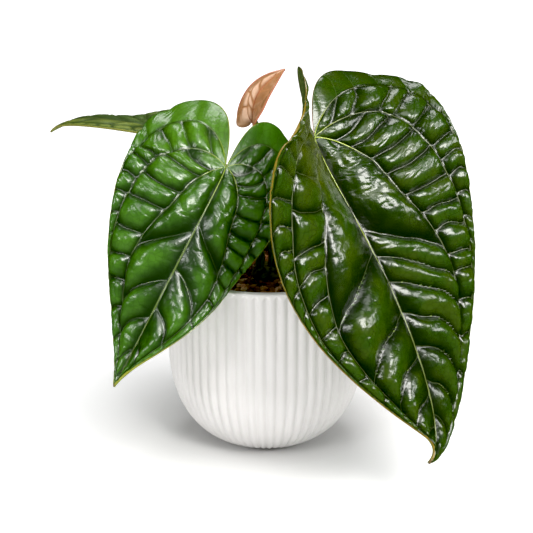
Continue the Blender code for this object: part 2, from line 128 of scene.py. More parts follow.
for name, lamp in LAMPS.items():
    softbox(name, *lamp)
air = bpy.data.worlds.new("studio air")
air.use_nodes = True
air.node_tree.nodes["Background"].inputs["Color"].default_value = colour("#FFFFFF")
air.node_tree.nodes["Background"].inputs["Strength"].default_value = AIR_LIGHT
air.cycles_visibility.glossy = False
bpy.context.scene.world = air

# Opal acrylic, matte and of an even white colour. Its glow is painted light that keeps the ground
# white, and it fades to nothing round the pot, which paints the soft contact shadow there.
acrylic, tree, shader = new_finish("opal acrylic light table", {
    "Base Color": colour("#EFEFEF"), "Roughness": 0.9, "Specular IOR Level": 0.1,
    "Emission Color": colour("#FFFFFF")})
where = add_node(tree, "TexCoord").outputs["Object"]
distance = add_node(tree, "VectorMath", {0: where}, {1: PAINTED_SHADOW_CENTRE}, operation="DISTANCE")
glow = add_node(tree, "MapRange", {"Value": distance.outputs["Value"]},
                {"From Min": PAINTED_SHADOW_CORE, "From Max": PAINTED_SHADOW_EDGE, "To Min": 0.0, "To Max": GLOW_POWER})
tree.links.new(glow.outputs["Result"], shader.inputs["Emission Strength"])


def full_turn(steps):
    """Angles of even steps round a full turn."""
    return np.linspace(0.0, 2 * np.pi, steps, endpoint=False)


def add_sheet(name, points, faces):
    """A sheet of the acrylic that the leaves' gloss doesn't show."""
    mesh = bpy.data.meshes.new(name)
    mesh.from_pydata(points, [], faces)
    mesh.materials.append(acrylic)
    sheet = bpy.data.objects.new(name, mesh)
    bpy.context.collection.objects.link(sheet)
    sheet.visible_glossy = False
    return sheet


square = ((-1, -1), (1, -1), (1, 1), (-1, 1))
add_sheet("table", [(x * TABLE_HALF, y * TABLE_HALF, 0.0) for x, y in square], [(0, 1, 2, 3)])

# The backdrop round the table is there for low views alone, so it gives the plant no light, shade
# or reflection
turn = full_turn(WALL_SIDES)
ring = WALL_RADIUS * np.stack([np.cos(turn), np.sin(turn), 0 * turn], axis=-1)
corner = np.arange(WALL_SIDES)
beside = (corner + 1) % WALL_SIDES
wall_faces = np.stack([corner, beside, WALL_SIDES + beside, WALL_SIDES + corner], axis=-1)
wall = add_sheet("backdrop", np.concatenate([ring, ring + (0.0, 0.0, WALL_HEIGHT)]), wall_faces.tolist())
wall.visible_diffuse = False
wall.visible_shadow = False

# Cover pot
# A slip-cast stoneware pot with 60 upright rounded ribs, which end in small arches under a
# plain rim. It is fired with a matte white glaze, inside and out, and stands on its flat foot.

POT_RADIUS = 0.0702
POT_HEIGHT = 0.132
POT_FOOT_RADIUS = 0.027
POT_FOOT_EDGE = 0.001
POT_BOWL_HEIGHT = 0.064
POT_WALL = 0.0042
POT_FLOOR = 0.0105
POT_FLOOR_RADIUS = 0.0440
RIM_EDGE = 0.0011
RIB_COUNT = 60
RIB_DEPTH = 0.0016
RIB_COLUMNS = 12
RIB_ARCH_LOW = 0.0052
RIB_ARCH_HIGH = 0.0024
RIB_ARCH_FADE = 0.0016
FOOT_FADE = 0.004
BOWL_RINGS = 42
WALL_RINGS = 6
ARCH_RINGS = 14
RIM_RINGS = 6
LINING_RINGS = 14


def turned_faces(rows, columns):
    """Faces of a turned shell whose rings lie row by row, with its two poles after them.

    The rings run from the lower pole out and up the outside, and come in to the other pole, so
    every face looks outwards.
    """
    ring = np.arange(columns)
    beside = (ring + 1) % columns
    start = np.arange(rows - 1)[:, None] * columns
    above = start + columns
    quads = np.stack([start + ring, start + beside, above + beside, above + ring], axis=-1)
    last = (rows - 1) * columns
    pole = np.full(columns, rows * columns)
    first_fan = np.stack([pole, beside, ring], axis=-1)
    last_fan = np.stack([last + ring, last + beside, pole + 1], axis=-1)
    return quads.reshape(-1, 4).tolist() + first_fan.tolist() + last_fan.tolist()


def turned_points(radius, height):
    """Points of rings of this radius and height, one row a ring and one column a turn step."""
    turn = full_turn(radius.shape[1])
    rings = np.stack([radius * np.cos(turn), radius * np.sin(turn), height], axis=-1)
    poles = [[0.0, 0.0, height[0].mean()], [0.0, 0.0, height[-1].mean()]]
    return np.concatenate([rings.reshape(-1, 3), poles])


def add_piece(name, points, faces, finishes, sharp=None):
    """A smooth-shaded piece on the one body, with its finishes."""
    mesh = bpy.data.meshes.new(name)
    mesh.from_pydata(np.asarray(points, dtype=np.float32), [], faces)
    for finish in finishes:
        mesh.materials.append(finish)
    mesh.shade_smooth()
    if sharp:
        mesh.set_sharp_from_angle(angle=math.radians(sharp))
    made = bpy.data.objects.new(name, mesh)
    bpy.context.collection.objects.link(made)
    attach(made, "root")
    return made


def ease(x):
    """Smooth step from 0 to 1: 3x squared less 2x cubed."""
    x = np.clip(x, 0.0, 1.0)
    return x * x * (3 - 2 * x)


def pot_bowl(first, last, rings, inset=0.0):
    """Radius and height of rings up the bowl, between two angles in degrees.

    The bowl is a quarter ellipse from the foot to the wall, and the inset moves each ring in,
    square to it.
    """
    turn = np.radians(np.linspace(first, last, rings))
    wide = POT_RADIUS - POT_FOOT_RADIUS
    out = np.array([POT_BOWL_HEIGHT * np.sin(turn), -wide * np.cos(turn)])
    out = out / np.linalg.norm(out, axis=0)
    return np.stack([POT_FOOT_RADIUS + wide * np.sin(turn) - inset * out[0],
                     POT_BOWL_HEIGHT * (1.0 - np.cos(turn)) - inset * out[1]], axis=-1)


def rounded(start, corner, end, steps):
    """Points of a quadratic curve from start to end, pulled to the corner between them."""
    u = np.linspace(0.0, 1.0, steps)[:, None]
    return (1 - u) ** 2 * np.array(start) + 2 * u * (1 - u) * np.array(corner) + u ** 2 * np.array(end)


def pot_profile():
    """Radius and height of each ring, up the outside, over the rim and down to the inner floor.

    The last value says how many rings, from the first on, belong to the ribbed outside.
    """
    base = [(POT_FOOT_RADIUS * 0.5, 0.0), (POT_FOOT_RADIUS - POT_FOOT_EDGE, 0.0)]
    bowl = pot_bowl(0.0, 90.0, BOWL_RINGS)
    arch = POT_HEIGHT - RIB_ARCH_LOW
    heights = np.concatenate([np.linspace(POT_BOWL_HEIGHT + 0.01, arch - 0.001, WALL_RINGS),
                              np.linspace(arch, POT_HEIGHT - RIM_EDGE, ARCH_RINGS)])
    wall = np.stack([np.full_like(heights, POT_RADIUS), heights], axis=-1)
    inner = POT_RADIUS - POT_WALL
    rim_out = rounded(wall[-1], (POT_RADIUS, POT_HEIGHT),
                      (POT_RADIUS - 1.6 * RIM_EDGE, POT_HEIGHT), RIM_RINGS)[1:]
    rim_in = rounded((inner + 1.2 * RIM_EDGE, POT_HEIGHT), (inner, POT_HEIGHT),
                     (inner, POT_HEIGHT - 1.5 * RIM_EDGE), RIM_RINGS)
    lining = pot_bowl(90.0, 40.0, LINING_RINGS, POT_WALL)
    inner_floor = [(POT_FLOOR_RADIUS, POT_FLOOR), (POT_FLOOR_RADIUS * 0.5, POT_FLOOR)]
    ribbed = len(base) + len(bowl) + len(wall)
    return np.concatenate([base, bowl, wall, rim_out, rim_in, lining, inner_floor]), ribbed


def rib_depths(height):
    """How far in from the plain surface each point of the ribbed rings lies.

    Across a rib the depth grows with the cube of the distance from the rib's middle, so ribs are
    broad and grooves narrow. Upwards each groove runs out in an arch, highest at its own middle,
    and at the foot it keeps two fifths of its depth.
    """
    step = np.linspace(-1.0, 1.0, RIB_COLUMNS, endpoint=False)
    across = np.abs(np.tile(1.5 * step - 0.5 * step ** 3, RIB_COUNT))
    arch = RIB_ARCH_HIGH + (RIB_ARCH_LOW - RIB_ARCH_HIGH) * (1 - across ** 2)
    fade = ease((POT_HEIGHT - height - arch) / RIB_ARCH_FADE + 0.5)
    foot = ease(height / FOOT_FADE) * 0.6 + 0.4 * (height > 0)
    return RIB_DEPTH * across ** 3 * fade * foot


def grained_finish(name, values, grain, stops=None, relief=None, fine=None, stretch=None, shade=None):
    """A finish whose colour and relief follow a noise through the piece.

    The colour runs through the stops, each a place on the noise from 0 to 1 and a colour, and the
    noise is first multiplied by the mesh's own shade where one is named. The relief gives the
    strength and the depth in metres of a bump, which follows the fine noise if there is one. The
    stretch scales the noise's three axes.
    """
    made, tree, shader = new_finish(name, values)
    where = add_node(tree, "TexCoord").outputs["Object"]
    if stretch:
        drawn_out = add_node(tree, "Mapping", {"Vector": where}, {"Scale": stretch})
        where = drawn_out.outputs["Vector"]
    noise = add_node(tree, "TexNoise", {"Vector": where}, grain).outputs["Fac"]
    if stops:
        tone = noise
        if shade:
            own = add_node(tree, "Attribute", attribute_name=shade).outputs["Fac"]
            shaded = add_node(tree, "Math", {0: noise, 1: own}, operation="MULTIPLY")
            tone = shaded.outputs["Value"]
        ramp = add_node(tree, "ValToRGB", {"Fac": tone})
        for place, code in stops[1:-1]:
            ramp.color_ramp.elements.new(place)
        for element, (place, code) in zip(ramp.color_ramp.elements, stops):
            element.position = place
            element.color = colour(code)
        tree.links.new(ramp.outputs["Color"], shader.inputs["Base Color"])
    if relief:
        if fine:
            noise = add_node(tree, "TexNoise", {"Vector": where}, fine).outputs["Fac"]
        strength, depth = relief
        bump = add_node(tree, "Bump", {"Height": noise}, {"Strength": strength, "Distance": depth})
        tree.links.new(bump.outputs["Normal"], shader.inputs["Normal"])
    return made


profile, ribbed = pot_profile()
radius, height = np.repeat(profile.T[:, :, None], RIB_COUNT * RIB_COLUMNS, axis=2)
radius[:ribbed] -= rib_depths(height[:ribbed])

# Matte zirconium glaze over stoneware: an even warm white with a dull sheen, faintly uneven in
# soft patches near 18 mm. Its pinholes and orange peel are near 0.5 mm, drawn at 0.9 mm so that
# they show.
glaze = grained_finish("matte white stoneware glaze", {"Roughness": 0.48, "Specular IOR Level": 0.4},
                       {"Scale": 55.0, "Detail": 3.0}, stops=((0.0, "#EBE9E8"), (1.0, "#E3E1DF")),
                       relief=(0.25, 0.00012), fine={"Scale": 1100.0, "Detail": 2.0})
cover_pot = add_piece("ribbed_cover_pot", turned_points(radius, height), turned_faces(*radius.shape),
                      [glaze], sharp=50)
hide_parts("pot")

# Nursery pot
# The thin pot that the plant was grown in, moulded from black polypropylene. It stands loose in
# the cover pot, so only its lip shows, a dark line inside the white rim.

# Black polypropylene: satin, with a fine moulded grain near 1 mm
plastic = grained_finish("black polypropylene", {"Base Color": colour("#141414"), "Roughness": 0.42},
                         {"Scale": 1000.0, "Detail": 2.0}, relief=(0.3, 0.0001))
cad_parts["nursery_pot"].data.materials.clear()
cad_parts["nursery_pot"].data.materials.append(plastic)

# Potting mix
# Composted bark and peat with a little perlite, filled to just under the nursery pot's lip.
# The chunks lie loose on top, half sunk in the fines.

NURSERY_TOP = 0.1275
NURSERY_TOP_RADIUS = 0.0625
NURSERY_FOOT_RADIUS = 0.0425
NURSERY_WALL = 0.0012
GAP = 0.0003
MIX_TOP = 0.1185
MIX_EDGE_DROP = 0.0033
MIX_EDGE_FADE = 0.004
MIX_SIDE_RING = 0.065
MIX_MOUND = 0.0012
MIX_WAVE = 0.0009
MIX_RIPPLE = 0.0012
MIX_CRUMBS = ((0.0009, 0.0042, 5), (0.0006, 0.0021, 6), (0.0003, 0.0011, 7))
MIX_COLUMNS = 300
MIX_RINGS = 78
CROWN_RADIUS = 0.0112
CROWN_FOOT = 0.088
CROWN_TOP = 0.1275
CHIP_COUNT = 420
CHIP_SIZES = (0.0014, 0.0046)
PERLITE_COUNT = 70
PERLITE_SIZES = (0.0006, 0.0017)
LUMP_RINGS = 5
LUMP_SIDES = 8
LATTICE = 97


def lumps(x, y, size, seed):
    """Smooth random heights from -1 to 1: random values a size apart on a lattice, eased between.

    The lattice repeats after its own number of squares, too far apart to be noticed.
    """
    table = np.random.default_rng(seed).uniform(-1.0, 1.0, (LATTICE, LATTICE))
    u, v = x / size, y / size
    i, j = np.floor(u).astype(int), np.floor(v).astype(int)
    a, b = ease(u - i), ease(v - j)

    def row(ahead):
        at = (j + ahead) % LATTICE
        return table[i % LATTICE, at] * (1 - a) + table[(i + 1) % LATTICE, at] * a

    return row(0) * (1 - b) + row(1) * b


def mix_height(x, y):
    """Top of the mix: a low mound, slow waves and a ripple, as the solid has them."""
    mound = np.cos(np.minimum(np.hypot(x, y) / NURSERY_TOP_RADIUS, 1.0) * np.pi)
    wave = np.sin(210 * x + 1.3) * np.cos(250 * y - 0.4)
    ripple = np.sin(520 * x - 380 * y) * np.cos(300 * x + 460 * y + 0.9)
    return MIX_TOP + MIX_MOUND * mound + MIX_WAVE * wave + MIX_RIPPLE * ripple


def nursery_inside(level):
    """Inner radius of the nursery pot's tapered wall at a height, less the mix's clearance."""
    foot = POT_FLOOR + GAP
    share = (level - foot) / (NURSERY_TOP - foot)
    return NURSERY_FOOT_RADIUS + (NURSERY_TOP_RADIUS - NURSERY_FOOT_RADIUS) * share - NURSERY_WALL - GAP


mix_floor = POT_FLOOR + GAP + NURSERY_WALL + GAP
mix_side = MIX_TOP - MIX_EDGE_DROP
mix_edge = nursery_inside(mix_side)
hole = CROWN_RADIUS + GAP
top_radii = np.linspace(mix_edge, hole, MIX_RINGS)
turn = full_turn(MIX_COLUMNS)
x = top_radii[:, None] * np.cos(turn)
y = top_radii[:, None] * np.sin(turn)
crumbs = sum(height * lumps(x, y, size, seed) for height, size, seed in MIX_CRUMBS)
inwards = ease((mix_edge - top_radii) / MIX_EDGE_FADE)[:, None]
mix_top = mix_side * (1 - inwards) + mix_height(x, y) * inwards + crumbs * inwards
side_heights = np.array([mix_floor, mix_floor, MIX_SIDE_RING])
side_radii = nursery_inside(side_heights) * (0.5, 1.0, 1.0)
radius = np.concatenate([side_radii, top_radii, [hole, 0.5 * hole]])
radius = np.repeat(radius[:, None], MIX_COLUMNS, axis=1)
height = np.concatenate([np.repeat(side_heights[:, None], MIX_COLUMNS, axis=1), mix_top,
                         np.full((2, MIX_COLUMNS), CROWN_FOOT - GAP)])

# Peat and composted bark, wet: nearly black, with red-brown fibres near 4 mm where it has dried
peat = grained_finish("wet peat and bark fines", {"Roughness": 0.85, "Specular IOR Level": 0.25},
                      {"Scale": 260.0, "Detail": 5.0, "Roughness": 0.7},
                      stops=((0.42, "#1C1008"), (0.74, "#8A5C34")), relief=(0.9, 0.0012))
mix = add_piece("bark_mix", turned_points(radius, height), turned_faces(*radius.shape),
                [peat])
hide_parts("potting_mix")


def scattered(count, sizes, flatness, roughness, seed, raised):
    """Points of many small lumps on the mix, each a jittered ellipsoid of its own size and turn.

    A lump's three half axes are its size times 1, about 0.7 and about the flatness. Each corner is
    moved in or out by up to the roughness, the whole is turned at random, and its middle is raised
    over the mix by a share of its third half axis. Returns the points lump by lump and a
    random shade for each.
    """
    draw = np.random.default_rng(seed)
    lift = np.linspace(-1.0, 1.0, LUMP_RINGS + 2)[1:-1]
    base = turned_points(np.repeat(np.sqrt(1 - lift ** 2)[:, None], LUMP_SIDES, axis=1),
                         np.repeat(lift[:, None], LUMP_SIDES, axis=1))
    base[-2:, 2] = (-1.0, 1.0)
    size = draw.uniform(*sizes, count) * draw.uniform(0.6, 1.0, count)
    axes = size[:, None] * np.stack([np.ones(count), draw.uniform(0.55, 0.9, count),
                                     flatness * draw.uniform(0.7, 1.3, count)], axis=-1)
    points = base * (1 + roughness * draw.uniform(-1, 1, (count, len(base), 1))) * axes[:, None]
    spin = draw.normal(size=(count, 4)) * (1.0, 0.35, 0.35, 1.0)
    spin = (spin / np.linalg.norm(spin, axis=1, keepdims=True))[:, None]
    points = points + 2 * np.cross(spin[..., 1:], np.cross(spin[..., 1:], points) + spin[..., :1] * points)
    near = CROWN_RADIUS + 1.3 * size
    far = mix_edge - 1.05 * size
    out = np.sqrt(draw.uniform(near ** 2, far ** 2))
    way = draw.uniform(0.0, 2 * np.pi, count)
    x, y = out * np.cos(way), out * np.sin(way)
    centre = np.stack([x, y, mix_height(x, y) + raised * axes[:, 2]], axis=-1)
    return points + centre[:, None], draw.uniform(0.0, 1.0, count)


def keep_values(mesh, name, kind, domain, values):
    """An attribute of the mesh, filled from an array."""
    field = {"FLOAT": "value", "FLOAT_VECTOR": "vector", "FLOAT_COLOR": "color"}[kind]
    made = mesh.attributes.new(name, kind, domain)
    made.data.foreach_set(field, np.asarray(values, dtype=np.float32).ravel())


def add_scatter(name, lump_points, shades, finish):
    """One piece of many lumps, with each lump's shade kept on its corners."""
    count, corners = lump_points.shape[:2]
    single = turned_faces(LUMP_RINGS, LUMP_SIDES)
    faces = [[corner + k * corners for corner in face] for k in range(count) for face in single]
    made = add_piece(name, lump_points.reshape(-1, 3), faces, [finish], sharp=35)
    keep_values(made.data, "shade", "FLOAT", "POINT", np.repeat(shades, corners))


# Composted pine bark: torn red-brown flakes with a 2.4 mm grain, some dry and tan on their
# broken faces
bark = grained_finish("composted pine bark", {"Roughness": 0.7, "Specular IOR Level": 0.35},
                      {"Scale": 420.0, "Detail": 4.0}, shade="shade", relief=(0.8, 0.0006),
                      stops=((0.12, "#5A3418"), (0.36, "#C08050"), (0.62, "#FFE0B8")))
add_scatter("bark_chips", *scattered(CHIP_COUNT, CHIP_SIZES, 0.5, 0.24, 11, 0.35), bark)

# Expanded perlite: off-white puffed glass grains, stained by the peat in patches near 2 mm
perlite = grained_finish("expanded perlite", {"Roughness": 0.8}, {"Scale": 500.0, "Detail": 3.0},
                         stops=((0.35, "#7A5A3E"), (0.60, "#D9CDB8")))
add_scatter("perlite_grains", *scattered(PERLITE_COUNT, PERLITE_SIZES, 0.9, 0.18, 23, 0.6), perlite)

# Crown
# The short stem base that all stalks grow from. Its skin is olive, ringed by the scars of shed
# leaves, and it stands in the mix on its roots.

CROWN_SIDES = 72
SHAFT_RINGS = 8
SHOULDER_RINGS = 20
SHOULDER_DRAW = 0.35
SCAR_DEPTH = 0.00035
SCARS_A_METRE = 2400
SCAR_LUMP = 0.0004
SCAR_LUMP_SIZE = 0.004
SCAR_FADE = 0.01

# Share of the crown's radius and height of each ring: foot, shaft, rounded shoulder, flat top
steps = np.linspace(0.1, 1.0, SHOULDER_RINGS)
shoulder = np.column_stack([1.0 - SHOULDER_DRAW * steps ** 2.2, MIX_TOP + steps * (CROWN_TOP - MIX_TOP)])
shaft = np.column_stack([np.ones(SHAFT_RINGS), np.linspace(CROWN_FOOT + 0.012, MIX_TOP, SHAFT_RINGS)])
crown_profile = np.concatenate([[(0.4, CROWN_FOOT), (0.80, CROWN_FOOT), (1.0, CROWN_FOOT + 0.006)],
                                shaft, shoulder, [(0.35, CROWN_TOP + 0.0002)]])
turn = full_turn(CROWN_SIDES)
share, height = np.repeat(crown_profile.T[:, :, None], CROWN_SIDES, axis=2)
rings = SCAR_DEPTH * np.sin(height * SCARS_A_METRE + 2.2 * np.sin(2 * turn))
scars = np.abs(rings + SCAR_LUMP * lumps(8 * turn / 1000, height, SCAR_LUMP_SIZE, 31))
radius = CROWN_RADIUS * share - scars * ease((height - CROWN_FOOT - SCAR_FADE) / SCAR_FADE)

# Stem skin: dull olive green, drying to brown in patches near 3 mm
stem_skin = grained_finish("aroid stem skin", {"Roughness": 0.6, "Specular IOR Level": 0.2},
                           {"Scale": 300.0, "Detail": 4.0}, stops=((0.38, "#3A2A12"), (0.62, "#6B6A22")),
                           relief=(0.6, 0.0005))
stem = add_piece("stem_base", turned_points(radius, height), turned_faces(*radius.shape),
                 [stem_skin])
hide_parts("crown")

# Leaf blades
# Each blade is one leathery heart-shaped leaf. Main veins fan out of the stalk's point, laterals
# leave the midrib lower down, and cross veins part the strips between them into cells. The blade
# grew faster than its veins, so every cell is puffed up like a quilt, and its edge is a fine line.

BLADE = 0.0005
MIDRIB_STEPS = 200
FAN = 1.2
FOLD_STATIONS = (-0.3, 0.0, 0.4, 1.0)
LOBE_REACH = 0.3
CURL_REACH = 0.35
STRAIGHT = 1e-7

# Outline of a blade, for evenly spaced steps from the sinus round the lobe to the tip: angle from
# the midrib in degrees, distance of the margin from the stalk over the length, and place along
# the midrib where that step's vein leaves it, over the length
OUTLINE = np.array([
    (172, 0.000, 0.000), (169, 0.110, 0.020), (163, 0.220, 0.040), (152, 0.310, 0.065),
    (136, 0.370, 0.095), (116, 0.385, 0.130), (95, 0.375, 0.180), (75, 0.385, 0.240),
    (56, 0.430, 0.320), (40, 0.500, 0.420), (27, 0.600, 0.550), (16, 0.720, 0.690),
    (7, 0.850, 0.830), (2, 0.945, 0.940), (0, 1.000, 1.000),
])

# Where the three main veins of a half run, as shares of the way from midrib to margin, at evenly
# spaced steps from the sinus to the tip
MAIN_VEINS = np.array([
    (0.42, 0.36, 0.31, 0.27, 0.24, 0.22, 0.205, 0.195, 0.195, 0.20, 0.215,
     0.25, 0.30, 0.36, 0.42, 0.45, 0.46, 0.46, 0.47, 0.48, 0.48),
    (0.74, 0.68, 0.62, 0.56, 0.50, 0.45, 0.42, 0.405, 0.41, 0.44, 0.47,
     0.51, 0.58, 0.65, 0.73, 0.78, 0.80, 0.80, 0.80, 0.80, 0.80),
    (0.93, 0.89, 0.845, 0.79, 0.73, 0.67, 0.62, 0.60, 0.63, 0.69, 0.78,
     0.86, 0.89, 0.90, 0.90, 0.90, 0.90, 0.90, 0.90, 0.90, 0.90),
])

# Places along a half at which cross veins leave the first, second and third main vein, for the two
# large blades. The cross veins of the other two are spaced by the leaf's cell lengths.
RUNGS = {
    "right_left": ((0.08, 0.165, 0.29, 0.435, 0.53, 0.58, 0.63, 0.68, 0.72, 0.76, 0.80, 0.84, 0.88, 0.92),
                   (0.06, 0.12, 0.20, 0.28, 0.34, 0.41, 0.475, 0.525, 0.56, 0.59, 0.62, 0.65, 0.69, 0.73,
                    0.77, 0.81, 0.86, 0.91),
                   (0.06, 0.12, 0.18, 0.25, 0.31, 0.37, 0.43, 0.49, 0.53, 0.56, 0.585, 0.61, 0.635, 0.66,
                    0.69, 0.72, 0.76, 0.81, 0.87)),
    "right_right": ((0.08, 0.15, 0.255, 0.375, 0.495, 0.56, 0.61, 0.66, 0.69, 0.73, 0.77, 0.81, 0.86, 0.91),
                    (0.05, 0.105, 0.19, 0.24, 0.32, 0.46, 0.51, 0.55, 0.59, 0.63, 0.665, 0.69, 0.71, 0.735,
                     0.77, 0.81, 0.86, 0.91),
                    (0.06, 0.12, 0.175, 0.24, 0.31, 0.38, 0.45, 0.50, 0.54, 0.57, 0.60, 0.625, 0.65, 0.68,
                     0.71, 0.75, 0.80, 0.86)),
    "left_left": ((0.09, 0.18, 0.38, 0.515, 0.625, 0.69, 0.74, 0.79, 0.84, 0.89, 0.94),
                  (0.06, 0.138, 0.205, 0.305, 0.40, 0.503, 0.565, 0.62, 0.67, 0.72, 0.77, 0.82, 0.88),
                  (0.05, 0.105, 0.175, 0.25, 0.33, 0.41, 0.48, 0.54, 0.59, 0.64, 0.69, 0.75, 0.81, 0.88)),
    "left_right": ((0.07, 0.14, 0.20, 0.345, 0.473, 0.54, 0.60, 0.65, 0.70, 0.75, 0.81, 0.87, 0.93),
                   (0.05, 0.118, 0.188, 0.26, 0.33, 0.43, 0.50, 0.56, 0.61, 0.66, 0.71, 0.77, 0.83, 0.90),
                   (0.06, 0.13, 0.20, 0.28, 0.36, 0.44, 0.51, 0.57, 0.62, 0.67, 0.73, 0.80, 0.88)),
}

# Each leaf: the midrib's control points and the way its upper side faces at the stalk and the tip.
# For each half: its width and lobe length, its fold and curl in degrees at the four fold stations,
# its lobe's back bend in degrees, how far its first main vein leans out, where laterals leave the
# midrib, how pale its lobe is, which on the rear and the new leaf is painted light on one half,
# and the share of their height that the cells of its four strips keep in the lobe. Then the rows
# and each strip's columns of the grid, the cell lengths where no rungs are given, the puff as a
# share of a cell's short side and the part of it that the strip by the midrib keeps near the
# stalk, the sizes of the finer relief, how much of a pale lobe's tint is left by the midrib, how
# fast it fades towards the tip and how much is left past the first main vein, and the seed of the
# random draws.
REAR_HALF = dict(width=0.95, lobe=0.75, back=0, lean=1.0, laterals=(0.50, 0.62, 0.74, 0.84, 0.92),
                 lobe_puff=(1.0, 1.0, 1.0, 0.5))
NEW_HALF = dict(lobe=0.35, back=0, lean=1.0, laterals=(0.40, 0.55, 0.70, 0.85),
                lobe_puff=(1.0, 0.3, 0.2, 0.1))
LEAVES = {
    "right": dict(
        midrib=((0.031, -0.045, 0.232), (0.048, -0.059, 0.187), (0.087, -0.109, 0.161),
                (0.127, -0.088, 0.033), (0.103, -0.137, 0.043)),
        face=((0.35, -0.92, 0.19), (0.30, -0.95, 0.00)),
        left=dict(width=1.09, lobe=0.93, fold=(77, 70, 44, 21), curl=(-6, -15, -35, -9), back=31,
                  lean=1.15, laterals=(0.60, 0.71, 0.775, 0.83, 0.88, 0.93), pale=1.0,
                  lobe_puff=(0.25, 0.45, 0.35, 0.2)),
        right=dict(width=1.10, lobe=0.68, fold=(-30, 3, -11, -36), curl=(-38, -21, -9, -30), back=-28,
                   lean=1.0, laterals=(0.548, 0.61, 0.66, 0.71, 0.76, 0.81, 0.86, 0.91, 0.955), pale=0.0,
                   lobe_puff=(1.0, 1.0, 0.9, 0.2)),
        rows=350, columns=(22, 18, 14, 8), puff=0.28, inner_puff=0.40,
        pebble_mm=7.0, pebble=0.00080, net=0.00012, slow=0.0005,
        pale_inside=0.8, pale_fade=2.6, pale_edge=1.0, seed=3,
    ),
    "left": dict(
        midrib=((-0.027, -0.040, 0.210), (-0.032, -0.053, 0.197), (-0.057, -0.096, 0.167),
                (-0.082, -0.086, 0.106), (-0.099, -0.107, 0.082)),
        face=((0.02, -0.90, 0.43), (-0.39, -0.88, 0.26)),
        left=dict(width=1.07, lobe=1.30, fold=(-8, 5, -1, -20), curl=(-22, -26, -7, -22), back=-19,
                  lean=0.85, laterals=(0.562, 0.703, 0.785, 0.86, 0.92), pale=1.0,
                  lobe_puff=(1.0, 0.9, 0.8, 0.2)),
        right=dict(width=0.80, lobe=1.17, fold=(-17, 1, -18, 42), curl=(-26, -26, -27, -10), back=-14,
                   lean=1.10, laterals=(0.532, 0.672, 0.76, 0.84, 0.91), pale=0.0,
                   lobe_puff=(1.0, 0.9, 0.8, 0.2)),
        rows=300, columns=(20, 16, 12, 8), puff=0.30, inner_puff=0.75,
        pebble_mm=7.5, pebble=0.00070, net=0.00010, slow=0.0005,
        pale_inside=0.1, pale_fade=2.6, pale_edge=1.0, seed=8,
    ),
    "rear": dict(
        midrib=((-0.059, 0.079, 0.203), (-0.095, 0.075, 0.206), (-0.136, 0.068, 0.229),
                (-0.161, 0.084, 0.202)),
        face=((0.0, 0.16, 0.94), (0.0, 0.19, 0.94)),
        left=dict(REAR_HALF, fold=(-3, 23, 9, -1), curl=(-6, -5, -8, -9), pale=0.0),
        # The near half is painted paler than the far half: painted light, a lit side against a shaded one
        right=dict(REAR_HALF, fold=(0, 4, -2, -16), curl=(-5, -10, -10, -11), pale=1.0),
        rows=200, columns=(14, 12, 10, 6), cell_mm=(11.0, 9.0, 7.0), puff=0.12, inner_puff=0.6,
        pebble_mm=7.0, pebble=0.00025, net=0.00004, slow=0.0001,
        pale_inside=1.0, pale_fade=0.2, pale_edge=1.0, seed=14,
    ),
    "new": dict(
        midrib=((-0.010, 0.012, 0.2285), (-0.009, 0.009, 0.245), (-0.0075, 0.008, 0.2525),
                (0.0127, 0.012, 0.265)),
        face=((-0.10, -0.95, 0.25), (-0.10, -0.95, 0.25)),
        left=dict(NEW_HALF, width=0.98, fold=(43, 70, 44, 44), curl=(15, 20, 20, 15), pale=0.0),
        # Its inner part takes the pale peach lobe colour, a painted highlight on this lit half
        right=dict(NEW_HALF, width=0.66, fold=(25, 21, 35, 41), curl=(10, 15, 15, 15), pale=1.0),
        rows=160, columns=(12, 10, 8, 4), cell_mm=(12.0, 14.0, 14.0), puff=0.10, inner_puff=0.7,
        pebble_mm=3.0, pebble=0.00008, net=0.0, slow=0.0,
        pale_inside=1.0, pale_fade=0.2, pale_edge=0.1, seed=21,
    ),
}
MAIN_VEIN_WIDTH = 0.00030
CROSS_VEIN_WIDTH = 0.00022
VEIN_RIDGE = 0.00028
VEIN_RIB = 0.0009
RIB_SPREAD = 2.2
SOFT_CREASE = 0.0004
MARGIN_WIDTH = 0.00030
MARGIN_SPAN = 8
FAR_FROM_VEINS = 20.0
CROWDING = 0.45
NARROWEST = 1e-5
SHORTEST_CELL = 0.004
FIRST_CELL_START = -0.006
SWAY = 0.006
SWAY_SIZE = 0.011
PEBBLE_WARP = 0.0022
PEBBLE_WARP_SIZE = 0.009
NET_CELL = 0.0040
BULGE_CELL = 0.0125
SLOW_SIZE = 0.010
FINE_SIZE = 0.0025
NO_VEIN = (9.0, 0.5, 9.0)
LATERAL_SLANTS = ((0.5, 0.7, 0.9), (0.14, 0.09, 0.04))
CROSS_SLANTS = ((0.0, 0.15, 0.40, 0.60, 0.70, 1.0), (0.04, 0.07, 0.09, 0.035, 0.015, 0.015))


def drawn_through(x, stations, values):
    """Smooth curve through values at stations: a cubic between each two, with mean slopes."""
    stations = np.asarray(stations, float)
    values = np.asarray(values, float)
    slopes = np.gradient(values, stations)
    k = np.clip(np.searchsorted(stations, x, side="right") - 1, 0, len(stations) - 2)
    step = stations[k + 1] - stations[k]
    u = (x - stations[k]) / step
    ahead = u * u * (3 - 2 * u)
    leave = u * (1 - u) ** 2 * step * slopes[k]
    arrive = u * u * (u - 1) * step * slopes[k + 1]
    return (1 - ahead) * values[k] + ahead * values[k + 1] + leave + arrive


def bent_line(controls, count):
    """Points of a smooth line from the first control point to the last that bends towards the rest.

    Each is the controls' mean, weighted by the binomial terms of the share of the way.
    """
    u = np.linspace(0.0, 1.0, count)[:, None]
    order = len(controls) - 1
    curve = np.zeros((count, 3))
    for k, control in enumerate(controls):
        curve += math.comb(order, k) * u ** k * (1 - u) ** (order - k) * np.asarray(control)
    return curve


def unit(vectors):
    """Vectors of the same directions and length 1."""
    return vectors / np.linalg.norm(vectors, axis=-1, keepdims=True)


